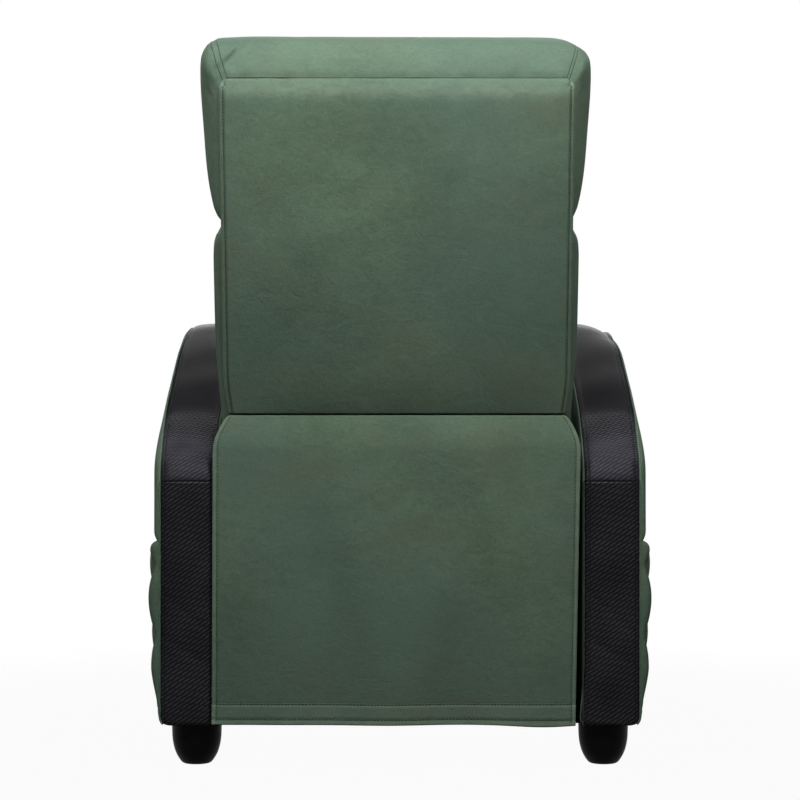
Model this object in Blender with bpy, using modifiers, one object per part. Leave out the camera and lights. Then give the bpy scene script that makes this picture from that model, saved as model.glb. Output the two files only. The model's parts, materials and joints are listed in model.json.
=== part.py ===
# Push-back gaming recliner: padded arms, a tilting back, and a footrest on folding links.
# Metres, +Z up. The chair faces -Y, and the origin is on the floor under its middle.
# Flat outlines are drawn as (forward, up), where forward is -Y.

import math

import bmesh
import bpy
from mathutils import Vector

OBJECT_NAME = "gaming_recliner"

# Gaps
TOUCH_GAP = 0.0003  # between pieces that touch
CUT_OVERRUN = 0.004  # how far a cutter reaches past what it cuts
MERGE_DISTANCE = 0.00003  # points closer than this are one

# Feet
FOOT_HEIGHT = 0.065
FOOT_TOP_RADIUS = 0.034
FOOT_BASE_RADIUS = 0.019
FOOT_SETBACK = 0.046  # from the arm's end to the foot's axis
FOOT_PROFILE_SHARES = ((1.0, 1.0), (1.0, 0.52), (0.9, 0.3), (0.55, 0.1), (0.0, 0.0))

# Arms
SITTING_WIDTH = 0.5196  # between the inner covers of the two arms
ARM_REAR = 0.2965  # rear face of the arms, behind the origin
ARM_DEPTH = 0.7
ARM_CREST = 0.65
BAND_WIDTH = 0.08
BAND_THICKNESS = 0.014
BAND_EDGE_RADIUS = 0.009
INNER_COVER_THICKNESS = 0.0034
COVER_INSET = 0.003  # how far a side cover stays inside the band's outline
BOARD_THICKNESS = 0.015
OUTER_COVER_EDGE = 0.004
OUTER_COVER_CROWN = 0.008
QUILT_PITCH = 0.1
QUILT_EDGE = 0.006
QUILT_PUFF = 0.016
ARM_RAIL_HEIGHT = 0.04
# Rear seam, slope, crest and rounded front, as shares of the depth and of the rise
ARM_TOP_SHARES = (
    (0.0, 0.592),
    (0.014, 0.624),
    (0.08, 0.687),
    (0.226, 0.7735),
    (0.403, 0.866),
    (0.616, 0.961),
    (0.714, 0.992),
    (0.8, 1.0),
    (0.88, 0.968),
    (0.945, 0.895),
    (0.985, 0.775),
    (1.0, 0.62),
)
QUILT_ROWS_SHARE = 2.5  # height of the quilted panel in pitches
QUILT_PHASE_SHARE = 0.25  # of a pitch, from the underside to the first crossing

# Rails that join the arms
CROSS_RAIL_THICKNESS = 0.022
CROSS_RAIL_HEIGHT = 0.05
CROSS_RAIL_LIFT = 0.006  # above the underside of the arms
FRONT_CROSS_SETBACK = 0.169  # behind the seat frame's front end
REAR_CROSS_INSET = 0.04  # from the rear face of the arms to the rear rail

# Seat
SEAT_RAIL_TOP = 0.376
SEAT_RAIL_HEIGHT = 0.041
SEAT_RAIL_THICKNESS = 0.016
SEAT_FRAME_SETBACK = 0.1175  # behind the front of the arms
SEAT_FRAME_REAR = 0.198  # behind the origin
SEAT_THICKNESS = 0.081  # to the rim of the cushion's top
SEAT_CROWN = 0.016
SEAT_SIDE_DRAW = 0.003
SEAT_ROUND = 0.026
SEAT_NOSE_INSET = 0.0065  # behind the front of the arms
SEAT_REAR = 0.163  # behind the origin
SEAT_SIDE_PLAY = 0.0012  # between the cushion and an arm
SPRING_COUNT = 4
SPRING_RADIUS = 0.0018
SPRING_SWING = 0.021  # half width of a spring's zigzag
SPRING_BENDS = 11
SPRING_LEAD_SHARE = 1 / 3  # of a bend's step: the straight ends, and half of each bend's width
SPRING_DROP = 0.005  # below the top of the rails
SPRING_SPREAD_SHARE = 0.76  # of the seat frame's width, taken by the springs

# Back
BACK_PIVOT_INSET = 0.011  # ahead of the seat frame's rear end
BACK_PIVOT_RISE = 0.024  # above the seat rails
BACK_TILT = math.radians(13)
BACK_RAIL_WIDTH = 0.028
BACK_RAIL_FRONT = 0.01  # from here on, sizes of the back are in its tilted frame
BACK_RAIL_DEPTH = 0.035
BACK_FRAME_LOW = 0.03
BACK_FRAME_HIGH = 0.575
BACK_CROSS_LOW = 0.062
BACK_CROSS_HEIGHT = 0.04
PAD_REAR = 0.065  # rear face of both pads
BACK_PAD_FRONT = 0.088
BACK_PAD_LOW = 0.052
BACK_PAD_SIDE_PLAY = 0.0013  # between the pad and an arm
BACK_PAD_ROUND = 0.024
BACK_PAD_CROWN = 0.016
HEADREST_LOW = 0.395
HEADREST_HIGH = 0.635
HEADREST_SIDE_REACH = 0.0187  # past the inner covers of the arms
HEADREST_FRONT = 0.112
HEADREST_ROUND = 0.032
HEADREST_CROWN = 0.014
PANEL_SIDE_INSET = 0.0163  # from the planes of the inner covers
PANEL_LOW = 0.127
PANEL_HIGH = 0.599
PANEL_EDGE = 0.014
PANEL_CROWN = 0.0065
PANEL_CHAMFER = 0.013
BRACKET_REACH = 0.16
# Half widths of the pads, as (share of the height, share of the widest)
BACK_PAD_WIDTH_SHARES = (
    (0.0, 0.92),
    (0.17, 0.938),
    (0.31, 0.967),
    (0.49, 1.005),
    (0.85, 1.01),
    (0.95, 0.995),
    (1.0, 0.97),
)
HEADREST_WIDTH_SHARES = (
    (0.0, 0.92),
    (0.13, 0.943),
    (0.3, 0.961),
    (0.53, 0.982),
    (0.78, 1.0),
    (0.93, 0.99),
    (1.0, 0.95),
)

# Rear curtain
CURTAIN_THICKNESS = 0.003
CURTAIN_BOTTOM = 0.062
CURTAIN_SIDE_LAP = 0.0007  # past the planes of the inner covers
CURTAIN_TOP_INSET = 0.002  # from the sides of the rear panel
CURTAIN_CORNER_DROP = 0.044
CURTAIN_SHIFT = 0.0055  # towards +X, as it hangs
CURTAIN_FOLD = 0.0035

# Footrest links, drawn folded
LINK_THICKNESS = 0.004
LINK_GAP = 0.001
LINK_HALF_WIDTH = 0.0078
PIN_RADIUS = 0.0033
PIN_PLAY = 0.0003
OPEN_PIN_PLAY = 0.0011  # at the two pins that the joint tree leaves open
LINK_LENGTH = 0.185  # of the lower and the upper links
LOWER_LINK_ANGLE = math.radians(-112.74)
UPPER_LINK_ANGLE = math.radians(52.94)
LOWER_PIVOT_SETBACK = 0.041  # behind the seat frame's front end
LOWER_PIVOT_DROP = 0.04  # below the seat rails
DRIVE_PIVOT_BACK = 0.03  # from the lower pivot
DRIVE_PIVOT_DROP = 0.04
UPPER_TAIL = 0.0478  # of the upper link, beyond its lower pin
CONTROL_PIN_DISTANCE = 0.1453  # along the lower link
CONTROL_BOARD_FORWARD = 0.015  # from the upper pin to the control pin
CONTROL_BOARD_RISE = 0.035
PLATE_MARGIN = 0.016
TORQUE_TUBE_RADIUS = 0.009

# Footrest
BOARD_STANDOFF = 0.026  # from the upper pin to the board
FOOTREST_BOARD_THICKNESS = 0.015
FOOTREST_PAD_THICKNESS = 0.066
FOOTREST_PAD_CROWN = 0.008
FOOTREST_PAD_ROUND = 0.02
FOOTREST_ABOVE = 0.075  # of the board, over the upper pin
FOOTREST_BELOW = 0.19
FOOTREST_PAD_OVERHANG = 0.005
FOOTREST_SIDE_PLAY = 0.0045

# Counts: sides of round pieces, and spans along X, Y and Z of the shaped ones
ROUND_SIDES = 16
HOLE_SIDES = 24
FOOT_STEPS = 24
WIRE_SAMPLES = 1
TUBE_SAMPLES = 3
SOFT_EDGE_STEPS = 2
OUTER_COVER_SPANS = (1, 16, 5)
QUILT_SPANS = (1, 28, 10)
SEAT_SPANS = (12, 12, 4)
CURTAIN_ROWS = 8
CURTAIN_COLUMNS = 12
BACK_PAD_SPANS = (12, 4, 10)
HEADREST_SPANS = (14, 6, 10)
PANEL_SPANS = (12, 1, 12)
FOOTREST_PAD_SPANS = (12, 4, 8)

# Curves: a higher power keeps a crown flat for longer and rounds it closer to its edges
COVER_SWELL_POWER = 4
PANEL_CROWN_POWER = 6
QUILT_LOW_POWER = 3
QUILT_SEAM_POWER = 1 / 2
QUILT_TOP_SHARE = 0.125  # of the quilted height, over which it draws in to the cover above

# Angles
SMOOTH_ANGLE = math.radians(40)  # shading is smooth across flatter edges than this
SOFT_EDGE_ANGLE = math.radians(50)  # edges sharper than this are rounded
QUILT_FACE_ANGLE = math.radians(60)  # faces turned less than this from sideways are creased
MITRE_ANGLE = math.radians(60)  # limits how far an inset corner runs out

# Looks: colour, roughness and metallic value
NUBUCK = ((0.078, 0.122, 0.082), 0.78, 0.0)
WEAVE = ((0.013, 0.013, 0.018), 0.55, 0.0)
MOULDED = ((0.006, 0.006, 0.006), 0.4, 0.0)
PLYWOOD = ((0.48, 0.32, 0.17), 0.7, 0.0)
COATED_STEEL = ((0.018, 0.018, 0.02), 0.42, 0.8)
WIRE = ((0.42, 0.42, 0.44), 0.35, 1.0)

# A right angle, which stands a flat outline up along the chair
FLAT_TURN = math.pi / 2

# Places that follow from the sizes above
HALF_SITTING = SITTING_WIDTH / 2
ARM_UNDERSIDE = FOOT_HEIGHT + TOUCH_GAP
BAND_INNER = HALF_SITTING + INNER_COVER_THICKNESS + TOUCH_GAP
BAND_OUTER = BAND_INNER + BAND_WIDTH
SIDE_COVER_INNER = BAND_OUTER + TOUCH_GAP
QUILT_HEIGHT = QUILT_PITCH * QUILT_ROWS_SHARE
SEAT_RAIL_OUTER = HALF_SITTING - TOUCH_GAP
PLATE_OUTER = SEAT_RAIL_OUTER - SEAT_RAIL_THICKNESS - TOUCH_GAP
LINK_STEP = LINK_THICKNESS + LINK_GAP
BACK_RAIL_OUTER = PLATE_OUTER - LINK_STEP - LINK_THICKNESS - TOUCH_GAP
SEAT_RAIL_LOW = SEAT_RAIL_TOP - SEAT_RAIL_HEIGHT
ARM_FRONT = ARM_DEPTH - ARM_REAR
SEAT_FRONT = ARM_FRONT - SEAT_NOSE_INSET
SEAT_FRAME_FRONT = ARM_FRONT - SEAT_FRAME_SETBACK
FRONT_CROSS_FORWARD = SEAT_FRAME_FRONT - FRONT_CROSS_SETBACK
BACK_PIVOT_REAR = SEAT_FRAME_REAR - BACK_PIVOT_INSET
BACK_PIVOT_HEIGHT = SEAT_RAIL_TOP + BACK_PIVOT_RISE
LOWER_PIVOT_FORWARD = SEAT_FRAME_FRONT - LOWER_PIVOT_SETBACK
LOWER_PIVOT_HEIGHT = SEAT_RAIL_LOW - LOWER_PIVOT_DROP
BACK_PAD_HALF_WIDTH = HALF_SITTING - BACK_PAD_SIDE_PLAY
HEADREST_HALF_WIDTH = HALF_SITTING + HEADREST_SIDE_REACH
PANEL_HALF_WIDTH = HALF_SITTING - PANEL_SIDE_INSET
CURTAIN_HALF_WIDTH = HALF_SITTING + CURTAIN_SIDE_LAP
CURTAIN_TOP_HALF_WIDTH = PANEL_HALF_WIDTH - CURTAIN_TOP_INSET
SIDES = (("left", 1), ("right", -1))

# Order of the flat pieces, from the side rail towards the middle
DRIVE_LAYER = 1
LOWER_LAYER = 2
CONTROL_LAYER = 3
UPPER_LAYER = 4
BRACKET_LAYER = 5


def clear_scene():
    for found in list(bpy.data.objects):
        bpy.data.objects.remove(found)


def new_collection(name):
    made = bpy.data.collections.new(name)
    bpy.context.scene.collection.children.link(made)
    return made


clear_scene()
PARTS = new_collection(OBJECT_NAME)
CUTTERS = new_collection(OBJECT_NAME + "_cutters")


def finish_part(part, look, parent=None, smooth=False):
    """Gives a piece its own material, its parent and its shading, and files it with the parts."""
    colour, roughness, metallic = look
    finish = bpy.data.materials.new(part.name + "_finish")
    finish.use_nodes = True
    shader = finish.node_tree.nodes["Principled BSDF"]
    shader.inputs["Base Color"].default_value = (*colour, 1)
    shader.inputs["Roughness"].default_value = roughness
    shader.inputs["Metallic"].default_value = metallic
    part.data.materials.append(finish)
    part.parent = parent
    if smooth:
        part.data.shade_smooth()
        part.data.set_sharp_from_angle(angle=SMOOTH_ANGLE)
    PARTS.objects.link(part)
    return part


def axis_empty(name, location, parent=None, tilt=0.0):
    """An empty on a joint's axis, which the moving pieces hang from."""
    empty = bpy.data.objects.new(name, None)
    empty.location = location
    empty.rotation_euler = (-tilt, 0, 0)
    empty.parent = parent
    PARTS.objects.link(empty)
    return empty


def object_from_bmesh(name, bm):
    mesh = bpy.data.meshes.new(name)
    bm.to_mesh(mesh)
    bm.free()
    return bpy.data.objects.new(name, mesh)


def box_object(name, low, high):
    """A cube primitive stretched between two corners, with its origin in the middle."""
    low, high = Vector(low), Vector(high)
    bm = bmesh.new()
    bmesh.ops.create_cube(bm, size=1)
    bmesh.ops.scale(bm, vec=high - low, verts=bm.verts)
    made = object_from_bmesh(name, bm)
    made.location = (low + high) / 2
    return made


def box(name, low, high, look, parent=None):
    return finish_part(box_object(name, low, high), look, parent)


def crease_lows(bm, side):
    """Splits each face along its lower diagonal, so that sewn valleys run along edges."""
    for face in [f for f in bm.faces if abs(f.normal.x) > math.cos(QUILT_FACE_ANGLE)]:
        first, second, third, fourth = face.verts
        pairs = sorted(
            ((first, third), (second, fourth)),
            key=lambda pair: side * (pair[0].co.x + pair[1].co.x),
        )
        bmesh.utils.face_split(face, *pairs[0])


def cage(name, centre, spans, shape, look, parent=None, crease=0):
    """A cube primitive cut into spans; shape moves each point of it, given as -1 to 1."""
    bm = bmesh.new()
    bmesh.ops.create_cube(bm, size=1)
    for axis, count in enumerate(spans):
        lengthwise = [e for e in bm.edges if e.verts[0].co[axis] * e.verts[1].co[axis] < 0]
        if count > 1:
            bmesh.ops.subdivide_edges(bm, edges=lengthwise, cuts=count - 1, use_grid_fill=True)
    for point in bm.verts:
        point.co = shape(*(2 * point.co))
    if crease:
        bm.normal_update()
        crease_lows(bm, crease)
    made = object_from_bmesh(name, bm)
    made.location = centre
    return finish_part(made, look, parent, smooth=True)


def interpolate(shares, place):
    """Reads a table of (place, value) pairs between its rows."""
    for (low, low_value), (high, high_value) in zip(shares, shares[1:]):
        if place <= high:
            return low_value + (high_value - low_value) * (place - low) / (high - low)
    return shares[-1][1]


def rounded(point, half_sizes, radius):
    """A point of the unit cube, spaced closer towards the edges, on a box with round edges."""
    spread = Vector([h * math.sin(t * math.pi / 2) for h, t in zip(half_sizes, point)])
    reach = [min(radius, h) for h in half_sizes]
    core = Vector(
        [max(r - h, min(h - r, s)) for h, r, s in zip(half_sizes, reach, spread)]
    )
    out = spread - core
    if out.length == 0:
        return spread
    scale = [r / radius for r in reach]
    unit = out.normalized()
    longest = max(abs(o) for o in out)
    return core + Vector([u * longest * s for u, s in zip(unit, scale)])


def circle_points(centre, radius, sides):
    """A hole or pin outline whose flats, not its corners, lie at the radius."""
    reach = radius / math.cos(math.pi / sides)
    turns = [math.tau * (i + 1 / 2) / sides for i in range(sides)]
    return [(centre[0] + reach * math.cos(t), centre[1] + reach * math.sin(t)) for t in turns]


def flat_object(name, outlines, thickness, layer_middle, angle=0.0, pivot=(0.0, 0.0)):
    """A flat outline with its holes, as thick as asked, standing in a plane square to X."""
    curve = bpy.data.curves.new(name + "_outline", "CURVE")
    curve.dimensions = "2D"
    curve.fill_mode = "BOTH"
    curve.extrude = thickness / 2
    for points in outlines:
        spline = curve.splines.new("POLY")
        spline.points.add(len(points) - 1)
        for row, (forward, up) in zip(spline.points, points):
            row.co = (forward, up, 0, 1)
        spline.use_cyclic_u = True
    drawn = bpy.data.objects.new(name + "_outline", curve)
    bpy.context.scene.collection.objects.link(drawn)
    evaluated = drawn.evaluated_get(bpy.context.evaluated_depsgraph_get())
    mesh = bpy.data.meshes.new_from_object(evaluated)
    bpy.data.objects.remove(drawn)
    bm = bmesh.new()
    bm.from_mesh(mesh)
    bmesh.ops.remove_doubles(bm, verts=bm.verts, dist=MERGE_DISTANCE)
    bm.to_mesh(mesh)
    bm.free()
    mesh.name = name
    made = bpy.data.objects.new(name, mesh)
    made.location = (layer_middle, -pivot[0], pivot[1])
    made.rotation_euler = (FLAT_TURN, -angle, -FLAT_TURN)
    return made


def flat(name, outlines, thickness, layer_middle, look, parent=None, angle=0.0, pivot=(0.0, 0.0)):
    made = flat_object(name, outlines, thickness, layer_middle, angle, pivot)
    return finish_part(made, look, parent)


def add_cutter(cutter, parent):
    """Files a helper of a Boolean step, out of sight."""
    cutter.parent = parent
    cutter.hide_render = True
    cutter.display_type = "WIRE"
    CUTTERS.objects.link(cutter)
    return cutter


def combine(part, helper, operation):
    step = part.modifiers.new(helper.name, "BOOLEAN")
    step.operation = operation
    step.object = helper


def cut_box(part, name, low, high, parent):
    combine(part, add_cutter(box_object(name, low, high), parent), "DIFFERENCE")


def add_pin(part, name, place, layer_from, layer_to, parent):
    """Joins a round pin to a flat piece, between two distances from the middle of the chair."""
    bm = bmesh.new()
    bmesh.ops.create_cone(
        bm,
        cap_ends=True,
        segments=ROUND_SIDES,
        radius1=PIN_RADIUS,
        radius2=PIN_RADIUS,
        depth=abs(layer_to - layer_from),
    )
    pin = object_from_bmesh(name, bm)
    pin.location = ((layer_from + layer_to) / 2, -place[0], place[1])
    pin.rotation_euler = (0, FLAT_TURN, 0)
    combine(part, add_cutter(pin, parent), "UNION")


def along(start, length, angle):
    return (start[0] + length * math.cos(angle), start[1] + length * math.sin(angle))


def apart(place, start):
    return (place[0] - start[0], place[1] - start[1])


def span(start, end):
    """Distance and direction from one place of a flat outline to another."""
    forward, up = apart(end, start)
    return math.hypot(forward, up), math.atan2(up, forward)


LOWER_PIVOT = (LOWER_PIVOT_FORWARD, LOWER_PIVOT_HEIGHT)
DRIVE_PIVOT = (LOWER_PIVOT_FORWARD - DRIVE_PIVOT_BACK, LOWER_PIVOT_HEIGHT - DRIVE_PIVOT_DROP)
KNEE_PIN = along(LOWER_PIVOT, LINK_LENGTH, LOWER_LINK_ANGLE)
BOARD_PIN = along(KNEE_PIN, LINK_LENGTH, UPPER_LINK_ANGLE)
TAIL_PIN = along(KNEE_PIN, -UPPER_TAIL, UPPER_LINK_ANGLE)
CONTROL_PIN = along(LOWER_PIVOT, CONTROL_PIN_DISTANCE, LOWER_LINK_ANGLE)
BOARD_CONTROL_PIN = (BOARD_PIN[0] + CONTROL_BOARD_FORWARD, BOARD_PIN[1] + CONTROL_BOARD_RISE)
BACK_PIVOT = (-BACK_PIVOT_REAR, BACK_PIVOT_HEIGHT)
DRIVE_LINK_LENGTH, DRIVE_LINK_ANGLE = span(DRIVE_PIVOT, TAIL_PIN)
CONTROL_LINK_LENGTH, CONTROL_LINK_ANGLE = span(CONTROL_PIN, BOARD_CONTROL_PIN)


def layer_outer(layer):
    """Distance of a flat layer's outer face from the middle of the chair."""
    return PLATE_OUTER - layer * LINK_STEP


def layer_middle(layer):
    return layer_outer(layer) - LINK_THICKNESS / 2


def pin_end(layer):
    """A pin ends just inside the inner face of the last layer that it holds."""
    return layer_outer(layer) - LINK_THICKNESS + TOUCH_GAP


# Arms


def arm_outline(inset):
    """The arm's side outline from its rear foot over the crest to its front foot."""
    rise = ARM_CREST - ARM_UNDERSIDE
    top = [
        (-ARM_REAR + d * ARM_DEPTH, ARM_UNDERSIDE + h * rise) for d, h in ARM_TOP_SHARES
    ]
    points = [(top[0][0], ARM_UNDERSIDE), *top, (top[-1][0], ARM_UNDERSIDE)]
    moved = []
    for before, here, after in zip(points, points[1:], points[2:]):
        first = Vector(apart(here, before)).normalized()
        second = Vector(apart(after, here)).normalized()
        middle = (first + second).normalized()
        reach = inset / max(middle.dot(first), math.cos(MITRE_ANGLE))
        moved.append((here[0] + middle.y * reach, here[1] - middle.x * reach))
    start = (points[0][0] + inset, ARM_UNDERSIDE)
    end = (points[-1][0] - inset, ARM_UNDERSIDE)
    return [start, *moved, end]


def mirrored_x(side, inner, outer):
    """The two distances from the middle of the chair as an interval along X."""
    return sorted((side * inner, side * outer))


def add_soft_edges(part, radius):
    soft = part.modifiers.new("soft_edges", "BEVEL")
    soft.width = radius
    soft.segments = SOFT_EDGE_STEPS
    soft.limit_method = "ANGLE"
    soft.angle_limit = SOFT_EDGE_ANGLE


def make_band(name, first, last, trim_start, trim_end, side):
    """A stretch of the padded band between two points of the arm's outline."""
    outer, inner = arm_outline(0.0), arm_outline(BAND_THICKNESS)
    outer, inner = outer[first : last + 1], inner[first : last + 1]
    for row, trim in ((0, trim_start), (-1, -trim_end)):
        outer[row] = (outer[row][0], outer[row][1] + trim)
        inner[row] = (inner[row][0], inner[row][1] + trim)
    middle = side * (BAND_INNER + BAND_OUTER) / 2
    band = flat(name, [outer + inner[::-1]], BAND_WIDTH, middle, WEAVE)
    add_soft_edges(band, BAND_EDGE_RADIUS / 2)


def make_bands(side_name, side):
    last = len(ARM_TOP_SHARES) + 1
    make_band("arm_band_rear_" + side_name, 0, 1, 0.0, TOUCH_GAP, side)
    make_band("arm_band_top_" + side_name, 1, last - 1, 0.0, 0.0, side)
    make_band("arm_band_front_" + side_name, last - 1, last, -TOUCH_GAP, 0.0, side)


def make_arm_boards(side_name, side):
    outline = [arm_outline(BAND_THICKNESS + TOUCH_GAP)]
    inner_middle = side * (BAND_INNER + BOARD_THICKNESS / 2)
    outer_middle = side * (BAND_OUTER - BOARD_THICKNESS / 2)
    flat("arm_inner_board_" + side_name, outline, BOARD_THICKNESS, inner_middle, PLYWOOD)
    flat("arm_outer_board_" + side_name, outline, BOARD_THICKNESS, outer_middle, PLYWOOD)


def make_arm_rail(side_name, side):
    inner = BAND_INNER + BOARD_THICKNESS + TOUCH_GAP
    outer = BAND_OUTER - BOARD_THICKNESS - TOUCH_GAP
    low_x, high_x = mirrored_x(side, inner, outer)
    run = BAND_THICKNESS + TOUCH_GAP
    low = (low_x, ARM_REAR - ARM_DEPTH + run, ARM_UNDERSIDE)
    high = (high_x, ARM_REAR - run, ARM_UNDERSIDE + ARM_RAIL_HEIGHT)
    box("arm_bottom_rail_" + side_name, low, high, PLYWOOD)


def make_inner_cover(side_name, side):
    middle = side * (HALF_SITTING + INNER_COVER_THICKNESS / 2)
    outline = arm_outline(COVER_INSET)
    name = "arm_inner_cover_" + side_name
    flat(name, [outline], INNER_COVER_THICKNESS, middle, NUBUCK)


def arm_top_height(forward):
    """Height of the side covers' upper edge, read off the inset outline."""
    outline = arm_outline(COVER_INSET)[1:-1]
    return interpolate(outline, forward)


def swell(share):
    """From 0 at both edges to 1 over the middle, steep at the edges."""
    return math.sqrt(1 - abs(2 * share - 1) ** COVER_SWELL_POWER)


def make_outer_cover(side_name, side):
    """Smooth upper cover, crowned between the band's outline and the quilted panel."""
    rear = -ARM_REAR + COVER_INSET
    length = ARM_DEPTH - 2 * COVER_INSET
    low = ARM_UNDERSIDE + QUILT_HEIGHT + TOUCH_GAP

    def shape(u, v, w):
        depth, rise = (1 - v) / 2, (w + 1) / 2
        forward = rear + depth * length
        crown = OUTER_COVER_EDGE + OUTER_COVER_CROWN * swell(depth) * swell(rise)
        out = SIDE_COVER_INNER + crown * (u * side + 1) / 2
        return (side * out, -forward, low + rise * (arm_top_height(forward) - low))

    cage("arm_outer_cover_" + side_name, (0, 0, 0), OUTER_COVER_SPANS, shape, NUBUCK)


def quilt_puff(along_share, up_share):
    """Diamond quilting: 0 on the two sets of slanted seams, 1 in the middle of a diamond."""
    up = up_share * QUILT_ROWS_SHARE - QUILT_PHASE_SHARE
    run = along_share * round(ARM_DEPTH / QUILT_PITCH)
    seams = math.sin(math.pi * (run + up)) * math.sin(math.pi * (run - up))
    return abs(seams) ** QUILT_SEAM_POWER


def make_quilt(side_name, side):
    """Lower side panel, puffed between its seams and tucked in at its edges."""
    rear = -ARM_REAR + COVER_INSET
    length = ARM_DEPTH - 2 * COVER_INSET

    def shape(u, v, w):
        depth, rise = (1 - v) / 2, (w + 1) / 2
        drawn_in = math.sqrt(min(1, (1 - rise) / QUILT_TOP_SHARE))
        body = swell(depth) * (1 - (1 - rise) ** QUILT_LOW_POWER) * drawn_in
        puff = QUILT_PUFF * body * (1 + quilt_puff(depth, rise)) / 2
        out = SIDE_COVER_INNER + (QUILT_EDGE + puff) * (u * side + 1) / 2
        return (side * out, -(rear + depth * length), ARM_UNDERSIDE + rise * QUILT_HEIGHT)

    cage("arm_quilt_" + side_name, (0, 0, 0), QUILT_SPANS, shape, NUBUCK, crease=side)


def make_foot(name, x, y):
    """A moulded foot turned from its profile, flat on top and underneath."""
    mesh = bpy.data.meshes.new(name)
    flare = FOOT_TOP_RADIUS - FOOT_BASE_RADIUS
    outer = [
        (FOOT_BASE_RADIUS + flare * out, 0, FOOT_HEIGHT * up) for out, up in FOOT_PROFILE_SHARES
    ]
    points = [(0, 0, FOOT_HEIGHT), *outer, (0, 0, 0)]
    mesh.from_pydata(points, [(i, i + 1) for i in range(len(points) - 1)], [])
    foot = bpy.data.objects.new(name, mesh)
    turned = foot.modifiers.new("turned", "SCREW")
    turned.steps = turned.render_steps = FOOT_STEPS
    turned.use_merge_vertices = True
    turned.merge_threshold = MERGE_DISTANCE
    foot.location = (x, y, 0)
    finish_part(foot, MOULDED)


def make_feet(side_name, side):
    x = side * (BAND_INNER + FOOT_TOP_RADIUS - INNER_COVER_THICKNESS)
    make_foot("foot_rear_" + side_name, x, ARM_REAR - FOOT_SETBACK)
    make_foot("foot_front_" + side_name, x, ARM_REAR - ARM_DEPTH + FOOT_SETBACK)


def make_arm(side_name, side):
    make_bands(side_name, side)
    make_arm_boards(side_name, side)
    make_arm_rail(side_name, side)
    make_inner_cover(side_name, side)
    make_outer_cover(side_name, side)
    make_quilt(side_name, side)
    make_feet(side_name, side)


# Frame between the arms


def make_cross_rails():
    half = HALF_SITTING - TOUCH_GAP
    low = ARM_UNDERSIDE + CROSS_RAIL_LIFT
    high = low + CROSS_RAIL_HEIGHT
    rear = ARM_REAR - REAR_CROSS_INSET
    front = -FRONT_CROSS_FORWARD
    box("rear_cross_rail", (-half, rear - CROSS_RAIL_THICKNESS, low), (half, rear, high), PLYWOOD)
    box("front_cross_rail", (-half, front, low), (half, front + CROSS_RAIL_THICKNESS, high), PLYWOOD)


def make_seat_frame():
    inner = SEAT_RAIL_OUTER - SEAT_RAIL_THICKNESS
    front, rear = -SEAT_FRAME_FRONT, SEAT_FRAME_REAR
    for side_name, side in SIDES:
        low_x, high_x = mirrored_x(side, inner, SEAT_RAIL_OUTER)
        low, high = (low_x, front, SEAT_RAIL_LOW), (high_x, rear, SEAT_RAIL_TOP)
        box("seat_side_rail_" + side_name, low, high, PLYWOOD)
    half = PLATE_OUTER - LINK_THICKNESS - TOUCH_GAP
    low, high = (-half, front, SEAT_RAIL_LOW), (half, front + SEAT_RAIL_THICKNESS, SEAT_RAIL_TOP)
    box("seat_front_rail", low, high, PLYWOOD)
    low, high = (-half, rear - SEAT_RAIL_THICKNESS, SEAT_RAIL_LOW), (half, rear, SEAT_RAIL_TOP)
    box("seat_rear_rail", low, high, PLYWOOD)


def spring_points():
    """A zigzag of straight runs and square bends from the front rail to the rear rail."""
    start = -SEAT_FRAME_FRONT + SEAT_RAIL_THICKNESS + TOUCH_GAP
    end = SEAT_FRAME_REAR - SEAT_RAIL_THICKNESS - TOUCH_GAP
    step = (end - start) / (SPRING_BENDS + 1)
    lead = step * SPRING_LEAD_SHARE
    points = [(0, start), (0, start + lead)]
    for bend in range(SPRING_BENDS):
        x = SPRING_SWING * (1 - 2 * (bend % 2))
        middle = start + step * (bend + 1)
        points += [(x, middle - lead), (x, middle + lead)]
    return points + [(0, end - lead), (0, end)]


def make_springs():
    width = 2 * PLATE_OUTER * SPRING_SPREAD_SHARE
    gap = width / (SPRING_COUNT - 1)
    height = SEAT_RAIL_TOP - SPRING_DROP
    for number in range(SPRING_COUNT):
        name = "seat_spring_" + str(number + 1)
        curve = bpy.data.curves.new(name, "CURVE")
        curve.dimensions = "3D"
        curve.bevel_depth = SPRING_RADIUS
        curve.bevel_resolution = WIRE_SAMPLES
        curve.use_fill_caps = True
        spline = curve.splines.new("POLY")
        points = spring_points()
        spline.points.add(len(points) - 1)
        for row, (x, y) in zip(spline.points, points):
            row.co = (x, y, 0, 1)
        spring = bpy.data.objects.new(name, curve)
        spring.location = (number * gap - width / 2, 0, height)
        finish_part(spring, WIRE)


def make_seat_cushion():
    """Crowned top, drawn-in sides and a rounded nose over the footrest."""
    half = (
        HALF_SITTING - SEAT_SIDE_PLAY,
        (SEAT_FRONT + SEAT_REAR) / 2,
        SEAT_THICKNESS / 2,
    )
    centre = (0, (SEAT_REAR - SEAT_FRONT) / 2, SEAT_RAIL_TOP + TOUCH_GAP + half[2])

    def shape(u, v, w):
        place = rounded((u, v, w), half, SEAT_ROUND)
        if w == -1:
            place.z = -half[2]
        middle = (1 - u * u) * (1 - v * v)
        place.z += SEAT_CROWN * middle * max(w, 0)
        place.x -= SEAT_SIDE_DRAW * u * (1 - v * v)
        return place

    cage("seat_cushion", centre, SEAT_SPANS, shape, NUBUCK)


def back_to_world(rear, up):
    """A place of the tilted back as a distance behind the origin and a height."""
    behind = BACK_PIVOT_REAR + rear * math.cos(BACK_TILT) + up * math.sin(BACK_TILT)
    return behind, BACK_PIVOT_HEIGHT + up * math.cos(BACK_TILT) - rear * math.sin(BACK_TILT)


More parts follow.
